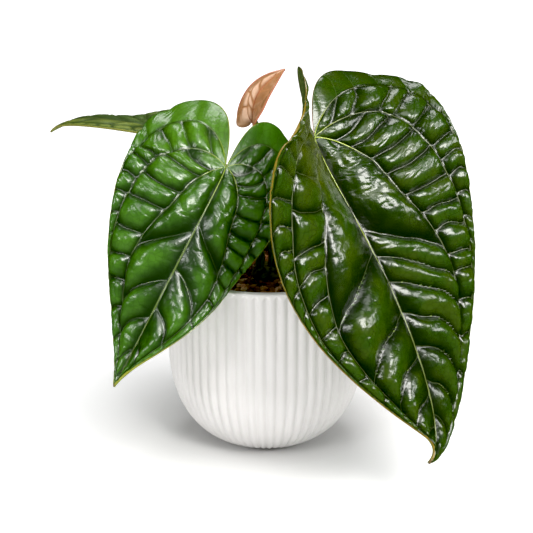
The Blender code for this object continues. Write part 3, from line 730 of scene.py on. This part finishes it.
def run_along(points):
    """Length of the way along the points, from the first to each."""
    return np.concatenate([[0.0], np.cumsum(np.linalg.norm(np.diff(points, axis=0), axis=1))])


def blade_plan(across, along):
    """Flat blade over its length: how far forward and sideways a point lies.

    across is 0 at the midrib and 1 at the margin, along is 0 at the sinus and 1 at the tip. A
    point lies on a ray from its place on the midrib, turned by the outline's angle times its
    share of the way out.
    """
    knots = np.linspace(0.0, 1.0, len(OUTLINE))
    angle = np.radians(drawn_through(along, knots, OUTLINE[:, 0]))
    margin = drawn_through(along, knots, OUTLINE[:, 1])
    start = drawn_through(along, knots, OUTLINE[:, 2])
    share = 1.0 - (1.0 - across) ** (1.0 + FAN * ease(along / 0.6))
    reach = start + (margin - start) * share
    return reach * np.cos(angle * share), reach * np.sin(angle * share)


def blade_frame(leaf, forward):
    """Midrib point so far forward, the midrib's direction and the way the blade faces there."""
    curve = bent_line(leaf["midrib"], MIDRIB_STEPS)
    run = run_along(curve)
    ahead = unit(np.gradient(curve, run, axis=0))
    place = np.clip(forward, 0.0, run[-1])
    point = np.stack([np.interp(place, run, curve[:, k]) for k in range(3)], axis=-1)
    tangent = unit(np.stack([np.interp(place, run, ahead[:, k]) for k in range(3)], axis=-1))
    share = (place / run[-1])[..., None]
    base, tip = unit(np.array(leaf["face"], float))
    normal = base * (1 - share) + tip * share
    normal = unit(normal - (normal * tangent).sum(-1, keepdims=True) * tangent)
    return point, tangent, normal


for key, leaf in LEAVES.items():
    leaf["length"] = run_along(bent_line(leaf["midrib"], MIDRIB_STEPS))[-1]
    for side in ("left", "right"):
        leaf[side]["rungs"] = RUNGS.get(f"{key}_{side}")


def blade_point(leaf, half, side, across, along):
    """Point and upward normal of the smooth bent blade.

    The midrib is carried on backwards as an arc under each lobe. Each half leaves it along an arc
    of its own, which starts at the fold angle and turns steadily by the curl.
    """
    length = leaf["length"]
    forward, sideways = blade_plan(across, along)
    forward = forward * length * np.where(forward < 0, half["lobe"], 1.0)
    sideways = sideways * length * half["width"]
    point, tangent, normal = blade_frame(leaf, forward)
    outward = side * np.cross(normal, tangent)
    bend = math.radians(half["back"]) / (LOBE_REACH * length) + STRAIGHT
    turn = -bend * np.minimum(forward, 0.0)[..., None]
    point = point - np.sin(turn) / bend * tangent + (1 - np.cos(turn)) / bend * normal
    normal = np.cos(turn) * normal + np.sin(turn) * tangent
    station = np.clip(forward / length, FOLD_STATIONS[0], FOLD_STATIONS[-1])
    fold = np.radians(drawn_through(station, FOLD_STATIONS, half["fold"]))
    curl = np.radians(drawn_through(station, FOLD_STATIONS, half["curl"])) / (CURL_REACH * length) + STRAIGHT
    slope = fold + curl * sideways
    out = (np.sin(slope) - np.sin(fold)) / curl
    lift = (np.cos(fold) - np.cos(slope)) / curl
    point = point + out[..., None] * outward + lift[..., None] * normal
    facing = np.cos(slope)[..., None] * normal - np.sin(slope)[..., None] * outward
    return point, facing


def blade_end(leaf, along):
    """The blade's point at the sinus or the tip, and how far both skins part there per thickness."""
    place = (np.zeros(1), np.full(1, along))
    point, left_up = blade_point(leaf, leaf["left"], -1, *place)
    fold = (left_up + blade_point(leaf, leaf["right"], 1, *place)[1])[0]
    return point[0], 2 * fold / (fold ** 2).sum()


def vein_edges(half, along):
    """Shares of the way to the margin at which the strips' edges lie: midrib, main veins, margin."""
    steps = np.linspace(0.0, 1.0, MAIN_VEINS.shape[1])
    veins = [drawn_through(along, steps, row) for row in MAIN_VEINS]
    veins[0] = np.minimum(veins[0] * half["lean"], 0.88 * veins[1])
    return [np.zeros_like(along)] + veins + [np.ones_like(along)]


def plan_run(leaf, half, across, along):
    """Length in metres along a line of the flat blade, from its start to each point."""
    forward, sideways = blade_plan(across, along)
    steps = np.hypot(np.diff(forward), np.diff(sideways * half["width"])) * leaf["length"]
    return np.concatenate([[0.0], np.cumsum(steps)])


def cross_places(leaf, half, strip, along, run, draw):
    """Places along at which a strip's cross veins leave its inner edge, from 0 to 1.

    Where they aren't given they are as far apart as the leaf's cells are long, along the strip's
    run, each moved at random by up to a quarter of that.
    """
    if strip == 0:
        return np.array([-0.2, *half["laterals"], 1.0, 1.3])
    if half["rungs"]:
        return np.array([-0.2, *half["rungs"][strip - 1], 0.97, 1.3])
    count = max(round(run[-1] * 1000 / leaf["cell_mm"][strip - 1]), 3)
    marks = np.linspace(0.0, run[-1], count + 1)
    marks[1:-1] += draw.uniform(-0.24, 0.24, count - 1) * run[-1] / count
    return np.concatenate([[-0.2], np.interp(marks, run, along)[1:-1], [1.0, 1.3]])


def crown_of(distance):
    """Height of a puffed cell at a distance from its crease, over half its short side."""
    return (1 - (1 - np.clip(distance, 0.0, 1.0)) ** 2) ** 0.7


def pebbles(x, y, size, seed, edge):
    """Round-topped random cells: 0 on the lines between them, 1 in their middles.

    One point lies in each square of a lattice. The height is the difference between the distances
    to the second nearest and the nearest of them, bent so that the tops are round.
    """
    table = np.random.default_rng(seed).uniform(0.12, 0.88, (LATTICE, LATTICE, 2))
    u, v = x / size, y / size
    i, j = np.floor(u).astype(int), np.floor(v).astype(int)
    nearest = np.full(np.shape(u), 9.0)
    second = np.full(np.shape(u), 9.0)
    for right in (-1, 0, 1):
        for ahead in (-1, 0, 1):
            point = table[(i + right) % LATTICE, (j + ahead) % LATTICE]
            gap = np.hypot(i + right + point[..., 0] - u, j + ahead + point[..., 1] - v)
            second = np.minimum(second, np.maximum(nearest, gap))
            nearest = np.minimum(nearest, gap)
    return 1 - (1 - np.clip((second - nearest) / edge, 0.0, 1.0)) ** 2


def strip_grid(leaf, half, strip, along):
    """Grid over one strip: places across the half, shares of the way over the strip, width, run.

    Columns crowd towards both edges by a cosine. Width and run are those of the flat strip in
    metres, the width across at each row and the run along its middle.
    """
    low, high = vein_edges(half, along)[strip:strip + 2]
    even = np.linspace(0.0, 1.0, leaf["columns"][strip] + 1)
    share = (1 - CROWDING) * even + CROWDING * 0.5 * (1 - np.cos(np.pi * even))
    share = share * np.ones((len(along), 1))
    ax, ay = blade_plan(low, along)
    bx, by = blade_plan(high, along)
    wide = np.hypot(ax - bx, (ay - by) * half["width"]) * leaf["length"]
    wide = np.maximum(wide, NARROWEST)[:, None]
    across = low[:, None] + (high - low)[:, None] * share
    return across, share, wide, plan_run(leaf, half, 0.5 * (low + high), along)


def cell_places(leaf, strip, rows, share, wide, places):
    """Number of the cell that each grid point lies in, and how far through it the point is.

    The cross veins between cells slant and sway towards the tip on their way out.
    """
    slants = LATERAL_SLANTS if strip == 0 else CROSS_SLANTS
    sway = SWAY * lumps(share * wide + 0.1 * strip, rows * 0.2, SWAY_SIZE, leaf["seed"] + 7 * strip)
    slant = np.interp(rows, *slants) * share ** (1.5 if strip == 0 else 1.0) + sway * ease(share / 0.2)
    place = np.clip(rows - slant, -0.19, 1.29)
    cell = np.searchsorted(places, place, side="right") - 1
    return cell, (place - places[cell]) / (places[cell + 1] - places[cell])


def strip_cells(leaf, half, strip, along, draw):
    """One strip's grid, from its inner vein to its outer one, and the puffed cells on it.

    Between its cross veins each cell rises by a set share of its shorter side. The height falls
    to nothing at every crease, along a curve that is steep at first and flat in the middle. Next
    to the midrib it starts slowly, so that the midrib lies in a shallow trough. The gap is the
    distance from the nearer main vein, in vein widths.
    """
    rows = along[:, None]
    across, share, wide, run = strip_grid(leaf, half, strip, along)
    places = cross_places(leaf, half, strip, along, run, draw)
    cell, part = cell_places(leaf, strip, rows, share, wide, places)
    along_run = np.interp(places, along, run)
    along_run[0] = min(along_run[0], FIRST_CELL_START)
    long = np.maximum(along_run[cell + 1] - along_run[cell], SHORTEST_CELL)
    short = np.minimum(long, wide)
    rise = leaf["puff"] * short * draw.uniform(0.82, 1.18, len(places))[cell]
    if strip == 0:
        rise = rise * np.interp(rows, (0.40, 0.60), (leaf["inner_puff"], 1.0))
    kept = np.interp(rows, (0.25, 0.50), (half["lobe_puff"][strip], 1.0))
    rise = rise * kept * np.interp(rows, (0.0, 0.05, 0.18), (0.25, 0.45, 1.0))
    inner = share * wide / ((1.3 if strip == 0 else 0.5) * short)
    outer = (1 - share) * wide / (0.5 * short)
    away = np.hypot(np.minimum(part, 1 - part) * long, SOFT_CREASE) - SOFT_CREASE
    puff = crown_of(inner) * crown_of(outer) * crown_of(away / (0.5 * short))
    vein = MAIN_VEIN_WIDTH * np.interp(rows, (0.0, 0.5, 1.0), (1.0, 0.8, 0.45))
    gap = share * wide / (vein * (1.8 if strip == 0 else 0.9))
    gap = np.minimum(gap, (1 - share) * wide / vein if strip < 3 else FAR_FROM_VEINS)
    return dict(across=across, rise=rise * puff, puff=puff, gap=gap,
                kept=kept * np.ones_like(share), strip=np.full(share.shape, strip),
                veins=np.stack([gap, cell + part, long / CROSS_VEIN_WIDTH], axis=-1))


def quilt(leaf, sheet):
    """Full height of the upper face over the smooth blade.

    To the puffs it adds smaller pebbles inside them, larger bulges where the strip by the midrib
    has no cross veins, the net of the finest veins, and slow and fine random lumps. Numbers added
    to x and y only move a pattern, so that no two of them lie alike.
    """
    x, y = sheet["plan"][..., 0], sheet["plan"][..., 1]
    across, along, puff, seed = sheet["across"], sheet["along"], sheet["puff"], leaf["seed"]
    bent_x = x + PEBBLE_WARP * lumps(x, y, PEBBLE_WARP_SIZE, seed + 4)
    bent_y = y + PEBBLE_WARP * lumps(x + 0.2, y, PEBBLE_WARP_SIZE, seed + 5)
    pebble = pebbles(0.8 * bent_x + 0.4, bent_y, leaf["pebble_mm"] / 1000, seed, 0.42)
    net = pebbles(bent_x + 0.7, y + 0.4, NET_CELL, seed + 6, 0.30)
    bulge = pebbles(0.8 * bent_x + 0.2, y + 0.3, BULGE_CELL, seed + 9, 0.8)
    plain = ease(across / 0.07) * ease((0.62 - along) / 0.15) * (across < 0.9) * (sheet["strip"] == 0)
    share = (0.95 - 0.35 * plain) * ease(puff * 1.6) * np.interp(along, (0.0, 0.18), (0.2, 1.0))
    relief = leaf["pebble"] * (pebble * share + 1.7 * bulge * plain * ease(puff * 1.6))
    relief = relief + leaf["net"] * net * ease(puff * 2)
    slow = leaf["slow"] * lumps(x + 0.3, y, SLOW_SIZE, seed + 3) * ease(puff * 1.5)
    fine = 0.4 * leaf["net"] * lumps(x, y, FINE_SIZE, seed + 2)
    return sheet["rise"] + (relief + slow + fine) * sheet["kept"]


def half_sheet(leaf, half, side):
    """One half of a blade on its grid, from the midrib to the margin: all that is worked out on it."""
    draw = np.random.default_rng(leaf["seed"] * 10 + side)
    along = np.arange(1, leaf["rows"] + 1) / (leaf["rows"] + 1)
    strips = [strip_cells(leaf, half, strip, along, draw) for strip in range(4)]
    sheet = {field: np.concatenate([cells[field][:, min(k, 1):] for k, cells in enumerate(strips)], axis=1)
             for field in ("across", "rise", "puff", "gap", "kept", "strip")}
    across = sheet["across"]
    sheet["along"] = along[:, None] * np.ones_like(across)
    sheet["veins"] = [cells["veins"] for cells in strips]
    forward, sideways = blade_plan(across, sheet["along"])
    sheet["plan"] = np.stack([forward * leaf["length"], side * sideways * leaf["length"] * half["width"],
                              np.full_like(across, 0.5 * side)], axis=-1)
    sheet["point"], sheet["facing"] = blade_point(leaf, half, side, across, sheet["along"])
    sheet["height"] = quilt(leaf, sheet)
    return sheet


def paint_map(leaf, half, sheet):
    """What the finish reads at each point of a half.

    near_midrib is how much of the midrib's own colour a main vein has: all of it in the midrib,
    and less in the lobe's veins. The tone holds the puff, which sets the painted crease shade, the
    distance from the margin over the margin line's span, the place along the blade, and how pale
    the lobe is there, which on the rear and the new leaf is painted light.
    """
    across, along = sheet["across"], sheet["along"]
    first, second = (edge[:, None] for edge in vein_edges(half, along[:, 0])[1:3])
    first_vein = 0.8 * ease(1.9 - 8 * along)
    outer_veins = 0.6 * ease(1.5 - 14 * along)
    lobe_veins = np.where(across < 0.5 * (first + second), first_vein, outer_veins)
    sheet["near_midrib"] = np.where(across < 0.5 * first, 1.0, lobe_veins)
    x, y = blade_plan(across, along)
    margin_x, margin_y = blade_plan(np.ones_like(across), along)
    to_margin = np.hypot(x - margin_x, y - margin_y) * leaf["length"] / (MARGIN_SPAN * MARGIN_WIDTH)
    inside = leaf["pale_inside"]
    pale = half["pale"] * ease(1.35 - leaf["pale_fade"] * along)
    pale = pale * (inside + (1 - inside) * ease(2.2 * across))
    pale = pale * (1 - (1 - leaf["pale_edge"]) * ease((across - 0.32) / 0.22))
    puff = 1 - (1 - sheet["puff"]) * sheet["kept"]
    sheet["tone"] = np.stack([puff, np.clip(to_margin, 0.0, 1.0), along, pale], axis=-1)


def joined(halves, field):
    """One array over the whole blade: the left half from its margin in, then the right half."""
    return np.concatenate([halves[-1][field][:, :0:-1], halves[1][field]], axis=1)


def blade_shell(leaf, halves):
    """Points of a closed blade: the upper skin's grid, its sinus and tip, and the lower skin's.

    The upper skin lies at the quilt's height, with a fine ridge along each main vein. The lower
    one lies a thickness under it, thinner at the margin, with a stronger rib along the vein.
    """
    rows, wide = halves[1]["across"].shape
    facing = joined(halves, "facing")
    crease = halves[-1]["facing"][:, 0] + halves[1]["facing"][:, 0]
    facing[:, wide - 1] = 2 * crease / (crease ** 2).sum(-1, keepdims=True)
    taper = np.linspace(1.0, 0.35, rows)[:, None]
    height, gap = joined(halves, "height"), joined(halves, "gap")
    thick = BLADE * (0.4 + 0.6 * ease((1 - joined(halves, "across")) / 0.04))
    upper = height + VEIN_RIDGE * np.exp(-gap ** 2) * taper
    lower = height - thick - VEIN_RIB * np.exp(-(gap / RIB_SPREAD) ** 2) * taper
    ends = [blade_end(leaf, along) for along in (0.0, 1.0)]
    skins = []
    for lift, depth in ((upper, 0.0), (lower, BLADE)):
        skin = joined(halves, "point") + lift[..., None] * facing
        skins += [skin.reshape(-1, 3), [point - depth * apart for point, apart in ends]]
    return np.concatenate(skins)


def square_corners(grid):
    """The four corners of each square of a grid, going round it."""
    return np.stack([grid[:-1, :-1], grid[:-1, 1:], grid[1:, 1:], grid[1:, :-1]], axis=2)


def half_faces(sheet, side):
    """Upper faces of one half, and how far each of their corners lies from the veins."""
    rows, wide = sheet["across"].shape
    index = np.arange(rows)[:, None] * (2 * wide - 1) + (wide - 1) + side * np.arange(wide)
    veins = np.concatenate([square_corners(strip) for strip in sheet["veins"]], axis=1)
    order = (0, 3, 2, 1) if side == 1 else (0, 1, 2, 3)
    return square_corners(index)[:, :, order].reshape(-1, 4), veins[:, :, order].reshape(-1, 4, 3)


def closing_faces(rows, span):
    """Quads round the margin, then the fans at the sinus and the tip, above and below."""
    sinus, tip, below = rows * span, rows * span + 1, rows * span + 2
    left = np.arange(rows) * span
    edge = np.concatenate([[sinus], left, [tip], (left + span - 1)[::-1]])
    after = np.roll(edge, -1)
    rim = np.stack([edge, below + edge, below + after, after], axis=-1)
    first = np.arange(span - 1)
    last = (rows - 1) * span + first
    fans = np.concatenate([np.stack([np.full(span - 1, sinus), first, first + 1], axis=-1),
                           np.stack([np.full(span - 1, tip), last + 1, last], axis=-1)])
    return rim, fans, below + fans[:, ::-1]


def add_blade(name, leaf, finishes):
    """A closed blade: an upper and a lower skin on the same grid, joined round the margin."""
    halves = {}
    for key, side in (("left", -1), ("right", 1)):
        halves[side] = half_sheet(leaf, leaf[key], side)
        paint_map(leaf, leaf[key], halves[side])
    rows, wide = halves[1]["across"].shape
    span = 2 * wide - 1
    parts = [half_faces(halves[side], side) for side in (-1, 1)]
    top = np.concatenate([faces for faces, veins in parts])
    top_veins = np.concatenate([veins for faces, veins in parts])
    bottom = rows * span + 2 + top[:, ::-1]
    groups = [top, bottom, *closing_faces(rows, span)]
    faces = [face for group in groups for face in group.tolist()]
    made = add_piece(name, blade_shell(leaf, halves), faces, finishes)
    counts = [len(group) for group in groups]
    finish_of = np.repeat((0, 1, 0, 0, 1), counts)
    made.data.polygons.foreach_set("material_index", finish_of.astype(np.int32))
    plain = np.tile(NO_VEIN, (4 * counts[2] + 3 * (counts[3] + counts[4]), 1))
    veins = np.concatenate([top_veins.reshape(-1, 3), top_veins[:, ::-1].reshape(-1, 3), plain])
    keep_values(made.data, "veins", "FLOAT_VECTOR", "CORNER", veins)
    for field, kind, ends in (("plan", "FLOAT_VECTOR", ((0, 0, 0), (leaf["length"], 0, 0))),
                              ("near_midrib", "FLOAT", ((1.0,), (0.3,))),
                              ("tone", "FLOAT_COLOR", ((0, 1, 0, 0), (0, 0, 1, 0)))):
        skin = np.concatenate([joined(halves, field).reshape(rows * span, -1), ends])
        keep_values(made.data, field, kind, "POINT", np.tile(skin, (2, 1)))
    return made


MAIN_LINE = (0.6, 1.6, 1.0, 0.0)
NET_STIR = 0.0016


def fading(tree, measure, fade, limit=None):
    """A share that runs smoothly between two values of a measure, times the limit's share.

    The fade holds the measure's two values and the share at each.
    """
    names = ("From Min", "From Max", "To Min", "To Max")
    share = add_node(tree, "MapRange", {"Value": measure}, dict(zip(names, fade)),
                     interpolation_type="SMOOTHSTEP").outputs["Result"]
    if limit:
        held = add_node(tree, "Math", {0: share, 1: limit}, operation="MULTIPLY")
        share = held.outputs["Value"]
    return share


def coat(tree, below, code, measure, fade, limit=None):
    """A colour over what is below, as strong as the measure's fade and the limit make it."""
    share = fading(tree, measure, fade, limit)
    laid = add_node(tree, "Mix", {"Factor": share, "A": below}, {"B": colour(code)},
                    data_type="RGBA")
    return laid.outputs["Result"]


def blade_map(tree):
    """The blade's flat plan, and the distances from main veins and from cross veins, in widths."""
    plan = add_node(tree, "Attribute", attribute_name="plan").outputs["Vector"]
    veins = add_node(tree, "Attribute", attribute_name="veins").outputs["Vector"]
    vein = add_node(tree, "SeparateXYZ", {"Vector": veins}).outputs
    folded = add_node(tree, "Math", {0: vein["Y"]}, {1: 0.5}, operation="PINGPONG")
    cross = add_node(tree, "Math", {0: folded.outputs["Value"], 1: vein["Z"]}, operation="MULTIPLY")
    return plan, vein["X"], cross.outputs["Value"]


def leaf_flesh(tree, look, plan, puff, pale):
    """Colour between the veins.

    It runs from the crease shade, a painted shade in the creases, to the crest colour on the puffs,
    or to the lobe's where the blade is pale, and soft patches stir both steps. The lobe colour is the
    leaf's own tint on the two large leaves, and painted light on the rear leaf's near half and on the
    new leaf's lit half.
    """
    clouds = add_node(tree, "TexNoise", {"Vector": plan}, {"Scale": 70.0, "Detail": 3.0})
    patches = clouds.outputs["Fac"]
    stain = fading(tree, patches, (0.40, 0.66, 0.0, 0.35))
    tint_light_and_stain = add_node(tree, "Math", {0: pale, 1: stain}, operation="ADD", use_clamp=True)
    crest = add_node(tree, "Mix", {"Factor": tint_light_and_stain.outputs["Value"]},
                     {"A": colour(look["crest"]), "B": colour(look["lobe"])}, data_type="RGBA")
    # Painted shade: the crease shade comes in where the puff, stirred by the patches, is low
    lit = add_node(tree, "Math", {0: puff, 1: patches}, operation="MULTIPLY")
    return coat(tree, crest.outputs["Result"], look["crease_shade"], lit.outputs["Value"], (0.42, 0.03, 0.0, 1.0))


def leaf_skin(name, look):
    """Cuticle of a leaf's upper face.

    Over the flesh come the finest net, in the painted crease shade for the shade in its sunken
    lines, then cross veins, main veins, midrib, margin, sinus and tip, by their distance in the
    blade. The net and a 0.8 mm grain are bumps that break up the gloss.
    """
    made, tree, shader = new_finish(name, {"Roughness": look["roughness"],
                                           "Specular IOR Level": look["gloss"]})
    plan, main_gap, cross_gap = blade_map(tree)
    tone = add_node(tree, "Attribute", attribute_name="tone")
    part = add_node(tree, "SeparateColor", {"Color": tone.outputs["Color"]}).outputs
    puff, to_margin, along = part["Red"], part["Green"], part["Blue"]
    body = leaf_flesh(tree, look, plan, puff, tone.outputs["Alpha"])
    stir = add_node(tree, "TexNoise", {"Vector": plan}, {"Scale": 300.0, "Detail": 1.0})
    warped = add_node(tree, "VectorMath", {0: stir.outputs["Color"], 2: plan},
                      {1: (NET_STIR, NET_STIR, 0.0)}, operation="MULTIPLY_ADD")
    net = add_node(tree, "TexVoronoi", {"Vector": warped.outputs["Vector"]},
                   {"Scale": 1000 / look["net_mm"]}, feature="DISTANCE_TO_EDGE").outputs["Distance"]
    main = fading(tree, main_gap, MAIN_LINE)
    near = add_node(tree, "Attribute", attribute_name="near_midrib").outputs["Fac"]
    midrib = fading(tree, main_gap, MAIN_LINE, near)
    sinus = fading(tree, along, (0.05, 0.12, 1.0, 0.0))
    for shade, measure, fade, limit in (
            ("crease_shade", net, (0.0, 0.10, look["net_colour"], 0.0), None),
            ("vein", cross_gap, (0.4, 1.8, look["cross_strength"], 0.0), None),
            ("vein", along, (0.3, 0.9, 0.40, 0.22), main),
            ("midrib", along, (*look["midrib_fade"], 0.95, 0.12), midrib),
            ("margin", to_margin, (*look["margin_band"], 0.95, 0.0), None),
            ("sinus", to_margin, (0.06, 0.20, 0.9, 0.0), sinus),
            ("tip", along, (0.975, 0.995, 0.0, 0.9), None)):
        body = coat(tree, body, look[shade], measure, fade, limit)
    tree.links.new(body, shader.inputs["Base Color"])
    net_relief = add_node(tree, "Bump", {"Height": fading(tree, net, (0.0, 0.25, 0.0, 1.0))},
                          {"Strength": look["net_strength"], "Distance": 0.00020}).outputs["Normal"]
    grain = add_node(tree, "TexNoise", {"Vector": plan}, {"Scale": 1250.0, "Detail": 2.0})
    relief = add_node(tree, "Bump", {"Height": grain.outputs["Fac"], "Normal": net_relief},
                      {"Strength": look["grain_strength"], "Distance": 0.00012})
    tree.links.new(relief.outputs["Normal"], shader.inputs["Normal"])
    return made


def leaf_underside(name, look):
    """Underside of a leaf: paler and duller, with its veins standing out as pale ribs."""
    made, tree, shader = new_finish(name, {"Roughness": 0.55, "Specular IOR Level": 0.35})
    plan, main_gap, cross_gap = blade_map(tree)
    patches = add_node(tree, "TexNoise", {"Vector": plan}, {"Scale": 90.0, "Detail": 4.0})
    flesh = add_node(tree, "Mix", {"Factor": patches.outputs["Fac"]},
                     {"A": colour(look["under_dark"]), "B": colour(look["under_pale"])}, data_type="RGBA")
    nearest = add_node(tree, "Math", {0: cross_gap, 1: main_gap}, operation="MINIMUM")
    ribbed = coat(tree, flesh.outputs["Result"], look["under_vein"], nearest.outputs["Value"],
                  (0.8, 2.6, 0.9, 0.0))
    tree.links.new(ribbed, shader.inputs["Base Color"])
    net = add_node(tree, "TexVoronoi", {"Vector": plan}, {"Scale": 1000 / look["net_mm"]},
                   feature="DISTANCE_TO_EDGE")
    relief = add_node(tree, "Bump", {"Height": net.outputs["Distance"]},
                      {"Strength": 0.5, "Distance": 0.00025}, invert=True)
    tree.links.new(relief.outputs["Normal"], shader.inputs["Normal"])
    return made


# Living leaf cuticle: a thick wax over green flesh, so it shines like lacquer on the dark old
# leaf, is softer on the younger bright one, nearly dull on the one behind, and is still thin and
# coppery on the new one. The crease shade is painted shade in the creases and the finest net. The
# rear leaf's lobe colour is painted light over its near half, and the new leaf's pale peach lobe
# colour is a painted highlight on its lit half.
LOOKS = {
    "right": dict(
        skin="waxy deep green leaf cuticle", slot="leaf_deep", roughness=0.23, gloss=0.75,
        crest="#2A470C", crease_shade="#0D1E04", lobe="#434E0E", vein="#A3AE7C", midrib="#C6DA4C",
        margin="#8A7426", sinus="#8C453A", tip="#5A4322", under_dark="#3A5220", under_pale="#4E6A2C",
        under_vein="#8C9C4C", margin_band=(0.05, 0.14), midrib_fade=(0.40, 0.64), cross_strength=0.12,
        net_mm=3.8, net_strength=0.22, net_colour=0.3, grain_strength=0.05),
    "left": dict(
        skin="waxy bright green leaf cuticle", slot="leaf_bright", roughness=0.29, gloss=1.0,
        crest="#3A6A14", crease_shade="#123006", lobe="#4F801A", vein="#8AA45C", midrib="#AFCB48",
        margin="#969A30", sinus="#8A9A28", tip="#5C4424", under_dark="#4A7028", under_pale="#629038",
        under_vein="#A0B85C", margin_band=(0.12, 0.28), midrib_fade=(0.22, 0.50), cross_strength=0.10,
        net_mm=3.8, net_strength=0.20, net_colour=0.3, grain_strength=0.05),
    "rear": dict(
        skin="dull olive leaf cuticle", slot="leaf_olive", roughness=0.50, gloss=0.30,
        # Here the lobe colour is painted light on the near half
        crest="#46602A", crease_shade="#34491A", lobe="#76853A", vein="#6E8240", midrib="#A2A84A",
        margin="#8C8A3A", sinus="#8C8A3A", tip="#6E5A2C", under_dark="#47592C", under_pale="#5C7038",
        under_vein="#98A058", margin_band=(0.05, 0.15), midrib_fade=(0.5, 0.9), cross_strength=0.25,
        net_mm=2.4, net_strength=0.2, net_colour=0.3, grain_strength=0.1),
    "new": dict(
        skin="young copper leaf cuticle", slot="leaf_copper", roughness=0.30, gloss=0.9,
        # Here the lobe colour is a painted highlight on the lit half, and the crease shade is a painted
        # shade between it and the brown crest
        crest="#97683A", crease_shade="#B07E54", lobe="#F6D2B6", vein="#C8926A", midrib="#A85E40",
        margin="#BC7458", sinus="#D07E6C", tip="#A8742E", under_dark="#A06A40", under_pale="#B8825A",
        under_vein="#C87860", margin_band=(0.03, 0.12), midrib_fade=(0.6, 0.95), cross_strength=0.08,
        net_mm=2.4, net_strength=0.05, net_colour=0.0, grain_strength=0.05),
}

for key, leaf in LEAVES.items():
    look = LOOKS[key]
    finishes = [leaf_skin(look["skin"], look), leaf_underside(look["skin"] + " underside", look)]
    blade = add_blade(f"{key}_blade", leaf, finishes)
    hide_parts(f"leaf_{key}")

# Leaf stalks
# Each stalk rises from its sheath in the crown and bends over to its blade, with the thicker
# joint just under the blade that lets the leaf turn to the light.

SOCKET_DEPTH = 0.0085
STALK_RISE = 0.016
STALK_SIDES = 20
STALK_RINGS = 90
SOCKET_RINGS = 8

# Each stalk: where it leaves the crown, two points that it bends towards, how far behind the blade
# a third one lies, and its radii at the foot, in the middle and at the blade
STALKS = {
    "right": dict(foot=(0.0052, -0.0018), through=((0.014, 0.012, 0.165), (0.038, 0.012, 0.212)),
                  reach=0.020, radii=(0.0034, 0.0026, 0.0031)),
    "left": dict(foot=(-0.0044, -0.0032), through=((-0.007, 0.004, 0.150), (-0.020, 0.002, 0.185)),
                 reach=0.016, radii=(0.0030, 0.0023, 0.0028)),
    "rear": dict(foot=(-0.0036, 0.0050), through=((-0.010, 0.022, 0.150), (-0.042, 0.062, 0.172)),
                 reach=0.014, radii=(0.0028, 0.0021, 0.0026)),
    "new": dict(foot=(0.0034, 0.0056), through=((0.004, 0.018, 0.155), (-0.006, 0.024, 0.195)),
                reach=0.012, radii=(0.0021, 0.0015, 0.0017)),
}

# Stalk skin: green, satin, with lengthwise fibres near 1 mm wide
stalk_skin = grained_finish("green stalk skin", {"Roughness": 0.42}, {"Scale": 900.0, "Detail": 3.0},
                            stops=((0.35, "#323E10"), (0.68, "#66742A")), relief=(0.4, 0.0002),
                            stretch=(1.0, 1.0, 0.12))


def stalk_route(leaf, stalk):
    """Middle line of a stalk: straight up its socket, then bent over to end behind the blade."""
    foot = np.array([*stalk["foot"], CROWN_TOP - SOCKET_DEPTH])
    mouth = foot + (0.0, 0.0, SOCKET_DEPTH)
    rise = mouth + (0.0, 0.0, STALK_RISE)
    start, apart = blade_end(leaf, 0.0)
    reach = start - unit(apart) * stalk["reach"]
    end = start - unit(apart) * 0.6 * BLADE
    free = bent_line([mouth, rise, *stalk["through"], reach, end], STALK_RINGS - SOCKET_RINGS)
    return np.concatenate([np.linspace(foot, mouth, SOCKET_RINGS + 1)[:-1], free])


def stalk_points(route, radii):
    """Rings square to the route, and its two ends.

    The radius runs between its three values, with a bell curve added for the sheath near the foot
    and one for the joint near the blade. A groove, another bell curve round the ring, runs along
    one side.
    """
    run = run_along(route)
    thick = np.interp(run / run[-1], (0.0, 0.12, 0.5, 0.86, 1.0), np.take(radii, (0, 0, 1, 1, 2)))
    joint = 1 + 0.22 * np.exp(-((run[-1] - run - 0.009) / 0.006) ** 2)
    sheath = 1 + 0.12 * np.exp(-((run - 0.012) / 0.008) ** 2)
    thick = thick * joint * sheath
    along = unit(np.gradient(route, run, axis=0))
    beside = unit(np.cross(along, (1.0, 0.0, 0.0)))
    across = np.cross(along, beside)
    turn = full_turn(STALK_SIDES)[:, None]
    groove = 1 - 0.10 * np.exp(-((turn - np.pi) / 0.5) ** 2)
    ring = (np.cos(turn) * across[:, None] + np.sin(turn) * beside[:, None]) * groove
    rings = route[:, None] + ring * thick[:, None, None]
    return np.concatenate([rings.reshape(-1, 3), route[:1], route[-1:]])


for key, stalk in STALKS.items():
    route = stalk_route(LEAVES[key], stalk)
    tube = add_piece(f"{key}_stalk", stalk_points(route, stalk["radii"]),
                     turned_faces(len(route), STALK_SIDES), [stalk_skin])
    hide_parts(f"petiole_{key}")
